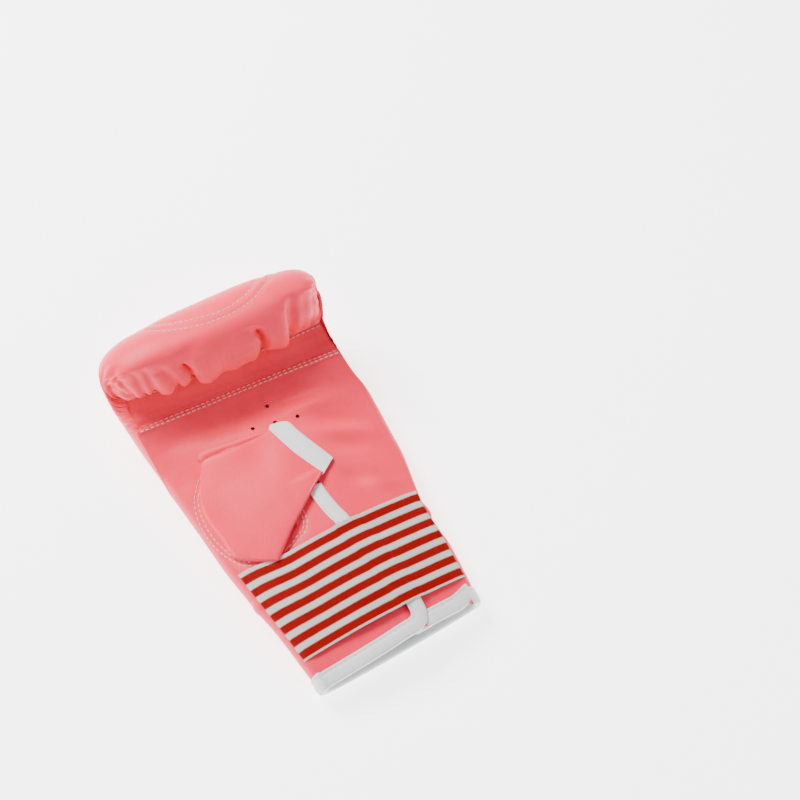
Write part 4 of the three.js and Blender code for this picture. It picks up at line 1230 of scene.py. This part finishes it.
elastic_bm = sheet_bmesh(140, 76, elastic_point)
band_layer = elastic_bm.loops.layers.uv.new("band")
flow_layer = elastic_bm.loops.layers.uv["flow"]
for face in elastic_bm.faces:
    for loop in face.loops:
        flow_u, flow_v = loop[flow_layer].uv
        loop[band_layer].uv = (flow_u * ELASTIC_HALF, (1 - flow_v) * ELASTIC_WIDTH)
wrist_elastic = finish_mesh("wrist_band", elastic_bm, [ELASTIC])
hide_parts("wrist_elastic")
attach(wrist_elastic, "root")

# %% [markdown]
# ## Cuff back, bindings and patch
#
# The back of the cuff is a plain lined sheet that continues the padded back. A folded tape
# binds its hem, the hem of both palm flaps, and the thumb flap's edge along the slit. A tape
# is swept as a folded profile along its edge: each place on it is a distance past the edge and
# a height over the sheet, which the sheet's own function turns into a point.

# %% Cuff back
CUFF_RUN = CUFF_LENGTH - 2.1


def cuff_point(place, along, depth):
    middle, side, rim, half, tuck = cuff_lines(along)
    rim_across = half - tuck
    half = half - depth
    middle[..., 1] += depth
    rim[..., 1] -= depth
    side = side + (rim - side) * (depth / (2 * CUFF_WALL))[..., None]
    x, y, z = round_section(middle, side, rim, half, half - rim_across, place)
    return settle(x, sag(x, y, z, half), z - RESTING_FLAT)


def even_place(u):
    return np.sign(u) * np.interp(np.abs(u) * HALF_ROUND, PLACE_RUN, PLACES)


def cuff_sheet_point(u, v, depth):
    along = 0.3 + v * CUFF_RUN
    puff = 0.5 * np.sin(math.pi * v) * (1 - np.abs(u)) - 0.5 * bell(along - 3.5, 1.6)
    return cuff_point(even_place(u), along, CUFF_WALL * depth - puff * (1 - depth))


cuff_mesh = sheet_bmesh(150, 44, cuff_sheet_point, inner_slot=1)
cuff_back = finish_mesh("cuff_sheet", cuff_mesh, [PINK, LINING])
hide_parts("cuff_back")
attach(cuff_back, "root")

# %% Folded tape
TAPE_WALL = 0.55
TAPE_HIGH = TRIM_LIFT + BINDING_THICKNESS
# Folded profile from its edge on top, round the cut edge, to its edge below
TAPE_PROFILE = np.array([
    (-BINDING_WIDTH, TRIM_LIFT), (-BINDING_WIDTH, TRIM_LIFT + 0.6),
    (-BINDING_WIDTH + 0.5, TAPE_HIGH), (-BINDING_WIDTH + 1.6, TAPE_HIGH - 0.15),
    (-BINDING_WIDTH + 2.6, TAPE_HIGH + 0.1), (-4.0, TAPE_HIGH + 0.35), (-1.6, TAPE_HIGH + 0.3),
    (0.1, TAPE_HIGH), (1.0, TAPE_HIGH - 0.75), (1.35, TAPE_HIGH - 2.0), (1.1, TAPE_HIGH - 3.2),
    (0.3, TAPE_HIGH - 4.0), (-1.2, TAPE_HIGH - 4.4), (-2.4, TAPE_HIGH - 4.4),
])


def tape_piece(name, point_at, steps):
    """point_at takes a share of the way, a distance past the edge and a height over the sheet."""
    bm = bmesh.new()
    bmesh.ops.create_grid(bm, x_segments=40, y_segments=steps, size=1.0)
    spots = np.array([vertex.co for vertex in bm.verts])
    position = (spots[:, 0] + 1) / 2 * (len(TAPE_PROFILE) - 1)
    away, rise = [curve_at(TAPE_PROFILE[:, column], position) for column in range(2)]
    spots = point_at((spots[:, 1] + 1) / 2, away, rise) / 1000
    for vertex, spot in zip(bm.verts, spots):
        vertex.co = spot
    return with_wall(finish_mesh(name, bm, [BINDING]), TAPE_WALL)


def flap_point(place, outward_way, away, rise):
    """Point past the edge of a flap. Its height is that of the sheet, or of the sheet's edge."""
    x, y = (place + outward_way * away[..., None]).T
    over = place + outward_way * np.minimum(away, 0)[..., None]
    return settle(x, y, cover_height(*over.T) + rise)


# %% Thumb flap's binding
FLAP_CORNER = 11.2
TAPE_TOP = HEM + 0.59 * PALM_LENGTH


def thumb_flap_edge():
    """Edge of the thumb flap: along its hem, round its corner and up the slit."""
    bend = FLAP_HEM + FLAP_CORNER
    slit = lambda along: slit_across(along) - SLIT_GAP / 2
    corner = slit(np.array(bend)) - FLAP_CORNER
    start = -(rim_at(FLAP_HEM)[1] - 0.4)
    hem = np.stack([np.linspace(start, corner, 60), np.full(60, FLAP_HEM)], axis=-1)
    angle = np.linspace(0, math.pi / 2, 24)[1:-1]
    turn = [corner, bend] + FLAP_CORNER * np.stack([np.sin(angle), -np.cos(angle)], axis=-1)
    climb = np.linspace(bend, TAPE_TOP, 90)
    return np.concatenate([hem, turn, np.stack([slit(climb), climb], axis=-1)])


def edge_sampler(edge):
    steps = np.linalg.norm(np.diff(edge, axis=0), axis=1)
    run = np.concatenate([[0.0], np.cumsum(steps)])
    way = np.gradient(edge, run, axis=0)
    way /= np.linalg.norm(way, axis=1, keepdims=True)

    def sample(share):
        at = share * run[-1]
        place = np.stack([np.interp(at, run, edge[:, column]) for column in range(2)], axis=-1)
        ahead = np.stack([np.interp(at, run, way[:, column]) for column in range(2)], axis=-1)
        return place, np.stack([ahead[..., 1], -ahead[..., 0]], axis=-1)

    return sample, run[-1]


thumb_edge, thumb_edge_length = edge_sampler(thumb_flap_edge())


def thumb_tape_point(share, away, rise):
    place, outward_way = thumb_edge(share)
    on_hem = 1 - smooth(0.30, 0.42, share)
    lap = 1.5 * smooth(0.20, 0.34, share) * (1 - smooth(0.5, 0.56, share))
    place = place + outward_way * (0.8 * np.sin(9 * share) * on_hem)[..., None]
    return flap_point(place, outward_way, away, rise + lap)


thumb_tape = tape_piece("thumb_flap_tape", thumb_tape_point, 300)
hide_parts("thumb_flap_binding")
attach(thumb_tape, "root")
print(f"thumb flap's binding: {thumb_edge_length:.0f} mm long")

# %% Little flap's binding
def little_flap_edge():
    start = slit_across(np.array(FLAP_HEM + FLAP_CORNER)) - 12.0
    across = np.linspace(start, rim_at(FLAP_HEM)[1] - 0.4, 60)
    rounded_end = 3.6 * smooth(38, 56, across)
    return np.stack([across, FLAP_HEM + rounded_end], axis=-1)


little_edge, _ = edge_sampler(little_flap_edge())


def little_tape_point(share, away, rise):
    place, outward_way = little_edge(share)
    under = -1.6 * (1 - smooth(0.16, 0.30, share))
    return flap_point(place, outward_way, away, rise + under)


little_tape = tape_piece("little_flap_tape", little_tape_point, 90)
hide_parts("little_flap_binding")
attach(little_tape, "root")

# %% Binding of the cuff's hem
def hem_tape_point(share, away, rise):
    along = np.full(np.shape(share), CUFF_LENGTH - 2 * BINDING_THICKNESS)
    spot = cuff_point(even_place(share * 2 - 1) * 0.97, along + np.minimum(away, 0), -rise)
    spot[..., 1] -= np.maximum(away, 0)
    return spot


hem_tape = tape_piece("cuff_hem_tape", hem_tape_point, 200)
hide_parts("cuff_binding")
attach(hem_tape, "root")

# %% Label patch
# The patch has a red satin border round a woven field, which is left bare.
PATCH_LENGTH = 88.0
PATCH_WIDTH = 37.0
PATCH_MIDDLE = 25.0
PATCH_BORDER = 5.2
PATCH_BLUR = 0.15
PATCH_POINT = 2.6
PATCH_BOW = 1.6


def patch_material():
    material, tree, shader = new_material("patch_cloth")
    flow = node(tree, "UVMap", uv_map="flow").outputs["UV"]
    parts = node(tree, "SeparateXYZ", {0: flow}).outputs
    # Distance from the nearest edge in millimetres
    from_middle = maths(tree, "ABSOLUTE", parts["X"])
    end_gap = node(
        tree, "MapRange", {"Value": from_middle, "To Min": PATCH_LENGTH / 2, "To Max": 0.0},
        clamp=False,
    ).outputs["Result"]
    side_gap = maths(tree, "MULTIPLY", maths(tree, "PINGPONG", parts["Y"], 0.5), PATCH_WIDTH)
    field = node(tree, "MapRange", {
        "Value": maths(tree, "MINIMUM", end_gap, side_gap),
        "From Min": PATCH_BORDER - PATCH_BLUR,
        "From Max": PATCH_BORDER + PATCH_BLUR,
    }, interpolation_type="SMOOTHSTEP").outputs["Result"]
    colour = node(tree, "Mix", {
        "Factor": field, "A": (*linear(214, 36, 26), 1), "B": (*linear(205, 205, 202), 1),
    }, data_type="RGBA").outputs["Result"]
    threads = node(
        tree, "TexWave", {"Vector": object_place(tree), "Scale": 420.0}, bands_direction="X")
    feed(tree, shader, {
        "Base Color": colour,
        "Normal": bumped(tree, threads.outputs["Color"], 0.35, 0.0002),
        "Roughness": 0.8,
        "Sheen Weight": 0.2,
    })
    return material


def patch_point(u, v, depth):
    """The patch's seam edge is curved and its hem edge comes to a blunt point."""
    across = u * PATCH_LENGTH / 2
    along = PATCH_MIDDLE + (v - 0.5) * PATCH_WIDTH + PATCH_POINT * v * (1 - np.abs(u))
    along = along + PATCH_BOW * (1 - v) * (1 - u**2)
    half = cuff_lines(along)[3]
    angle = np.arcsin(np.minimum(np.abs(across) / half, 1) ** (BOXINESS / 2))
    place = np.sign(across) * SIDE_SHARE * angle / (math.pi / 2)
    pillow = 0.5 * smooth(0, 0.08, np.minimum(v, 1 - v)) * smooth(0, 0.05, 1 - np.abs(u))
    out = TRIM_LIFT + (0.35 + pillow) * (1 - depth)
    return cuff_point(place, along, -out)


label_patch = finish_mesh("label_cloth", sheet_bmesh(110, 46, patch_point), [patch_material()])
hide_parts("label_patch")
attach(label_patch, "root")

# %% [markdown]
# ## Stitches
#
# Every seam shows its thread. A stitch is a small flattened bead of thread with a few dozen
# faces, half sunk in the surface. A row of them is laid by asking the sheet's own function for
# places along the seam, stepping along it by the stitch length, and turning each bead to the
# seam's direction and the sheet's normal.

# %% Stitch rows
STITCH_PITCH = 3.3
STITCH_PROUD = 0.07
SHEET_STEPS = (0.004, 0.01)
PATTERN_STEPS = (0.4, 0.4)


def lay_stitches(bm, spots, normals, length, width):
    """Lays beads along a row of spots and tells how many."""
    steps = np.linalg.norm(np.diff(spots, axis=0), axis=1)
    run = np.concatenate([[0.0], np.cumsum(steps)])

    def pick(table, at):
        return Vector([float(np.interp(at, run, table[:, axis])) for axis in range(3)])

    count = int(run[-1] // STITCH_PITCH)
    size = Matrix.Diagonal((length / 2, width / 2, width / 2, 1))
    for index in range(count):
        at = (index + 0.5) * STITCH_PITCH
        ahead = (pick(spots, at + 0.8) - pick(spots, at - 0.8)).normalized()
        beside = pick(normals, at).cross(ahead).normalized()
        normal = ahead.cross(beside)
        turn = Matrix((ahead, beside, normal)).transposed().to_4x4()
        spot = Matrix.Translation(pick(spots, at) + normal * STITCH_PROUD)
        matrix = Matrix.Scale(0.001, 4) @ spot @ turn @ size
        bmesh.ops.create_uvsphere(bm, u_segments=6, v_segments=5, radius=1, matrix=matrix)
    return count


def stitch_piece(name, material, rows, length=2.7, width=0.78):
    """Each row is a surface, places on it in its two values, their steps and the outward side."""
    bm = bmesh.new()
    laid = 0
    for surface, a, b, steps, towards in rows:
        normals = outward(surface, a, b, *steps, towards)
        laid += lay_stitches(bm, surface(a, b), normals, length, width)
    piece = finish_mesh(name, bm, [material])
    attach(piece, "root")
    print(f"{name}: {laid} stitches")


def outer_face(point_at):
    return lambda a, b: point_at(a, b, np.zeros(np.shape(a)))


def rows_across(surface, reach, shares):
    """A row across a sheet at each of the shares of the way along it."""
    u = np.linspace(-reach, reach, 400)
    return [(surface, u, np.full(400, share), SHEET_STEPS, 1) for share in shares]


# %% Stitches of the two finger seams
WELT_ROWS = [(WELT_WIDTH - offset) / BAND_RUN for offset in (0.55, 2.45)]
UPPER_ROW = (UPPER_SEAM - 2.6 - SEAM_LINE + WELT_WIDTH) / BAND_RUN
band_face = outer_face(band_point)
stitch_piece(
    "finger_seam_stitches", THREAD, rows_across(band_face, 0.985, WELT_ROWS))
stitch_piece(
    "roll_seam_stitches", THREAD, rows_across(band_face, 0.985, [UPPER_ROW]))

# %% Stitches round the stall, on the quilting and on the cuff seam
def palm_top_point(x, y):
    """Point on the palm's outer face above a place of the pattern."""
    v = (y - FLAP_HEM) / PALM_RUN
    little_edge = palm_place(np.ones(np.shape(x)), v)[0]
    thumb_edge = -palm_place(-np.ones(np.shape(x)), v)[0]
    return palm_point(x / np.where(x < 0, thumb_edge, little_edge), v, np.zeros(np.shape(x)))


def folded_skin(across, run):
    return pad_skin(across, run)[0]


stitch_piece("stall_seam_stitches", THREAD, [
    (palm_top_point, *inset_path(OVAL_SEAM, inset).T, PATTERN_STEPS, 1)
    for inset in (0.0, OVAL_GAP)
])
stitch_piece("quilting_stitches", THREAD, [
    (folded_skin, *rounded(line, 30).T, PATTERN_STEPS, -1) for line in (QUILT_LINE, QUILT_INNER)
])
cuff_rows = rows_across(outer_face(cuff_sheet_point), 0.93, [2.4 / CUFF_RUN, 6.0 / CUFF_RUN])
stitch_piece("cuff_seam_stitches", THREAD, cuff_rows)

# %% Binding and patch stitches
PATCH_INSET = 1.5


def tape_face(point_at):
    return lambda a, b: point_at(a, b, np.full(np.shape(a), TAPE_HIGH - 0.1))


share = np.linspace(0.01, 0.985, 500)
away = np.full(500, -BINDING_WIDTH + 1.6)
tape_rows = [
    (tape_face(point_at), share, away, (0.003, 0.3), towards)
    for point_at, towards in ((thumb_tape_point, -1), (little_tape_point, -1),
                              (hem_tape_point, 1))
]
stitch_piece(
    "binding_stitches", PALE_THREAD, tape_rows, length=2.2, width=0.45)

reach_u, reach_v = 1 - 2 * PATCH_INSET / PATCH_LENGTH, PATCH_INSET / PATCH_WIDTH
sweep = np.linspace(-reach_u, reach_u, 300)
climb = np.linspace(reach_v, 1 - reach_v, 150)
patch_rows = [
    (outer_face(patch_point), u, v, SHEET_STEPS, -1)
    for u, v in (
        (sweep, np.full(300, reach_v)), (sweep, np.full(300, 1 - reach_v)),
        (np.full(150, -reach_u), climb), (np.full(150, reach_u), climb),
    )
]
stitch_piece("patch_stitches", RED_THREAD, patch_rows, length=2.4, width=0.55)

# %% [markdown]
# ## Floor and light
#
# The photograph has a pure white ground and soft light that comes from behind and above, so the
# roll is bright on top and its folds are shaded below. One area light behind the glove gives
# this, two weak ones fill it from the left and the right, and a white world softens the rest.
# The floor glows a little, because a lit grey floor would never come out as white as that.

# %% Floor
FLOOR_GLOW = 3.4


def make_floor():
    bm = bmesh.new()
    bmesh.ops.create_grid(bm, x_segments=1, y_segments=1, size=12.0)
    material, tree, shader = new_material("pale_floor")
    feed(tree, shader, {
        "Base Color": (0.9, 0.9, 0.9, 1),
        "Roughness": 0.9,
        "Emission Color": (1, 1, 1, 1),
        "Emission Strength": FLOOR_GLOW,
    })
    floor = finish_mesh("floor", bm, [material])


make_floor()

# %% Lights
def area_light(name, spot, size, power, aim=(0, 0, 0.03)):
    data = bpy.data.lights.new(name, "AREA")
    data.shape = "SQUARE"
    data.size = size
    data.energy = power
    light = bpy.data.objects.new(name, data)
    light.location = spot
    light.rotation_euler = (Vector(aim) - Vector(spot)).to_track_quat("-Z", "Y").to_euler()
    bpy.context.collection.objects.link(light)


area_light("soft_behind", (-0.3, 0.95, 1.05), 0.55, 50)
area_light("left_window", (-1.1, 0.2, 0.8), 0.7, 3)
area_light("right_fill", (0.7, -0.9, 0.9), 0.9, 8)

world = bpy.data.worlds.new("studio")
world.use_nodes = True
background = world.node_tree.nodes["Background"]
feed(world.node_tree, background, {"Color": (1, 1, 1, 1), "Strength": 0.4})
bpy.context.scene.world = world
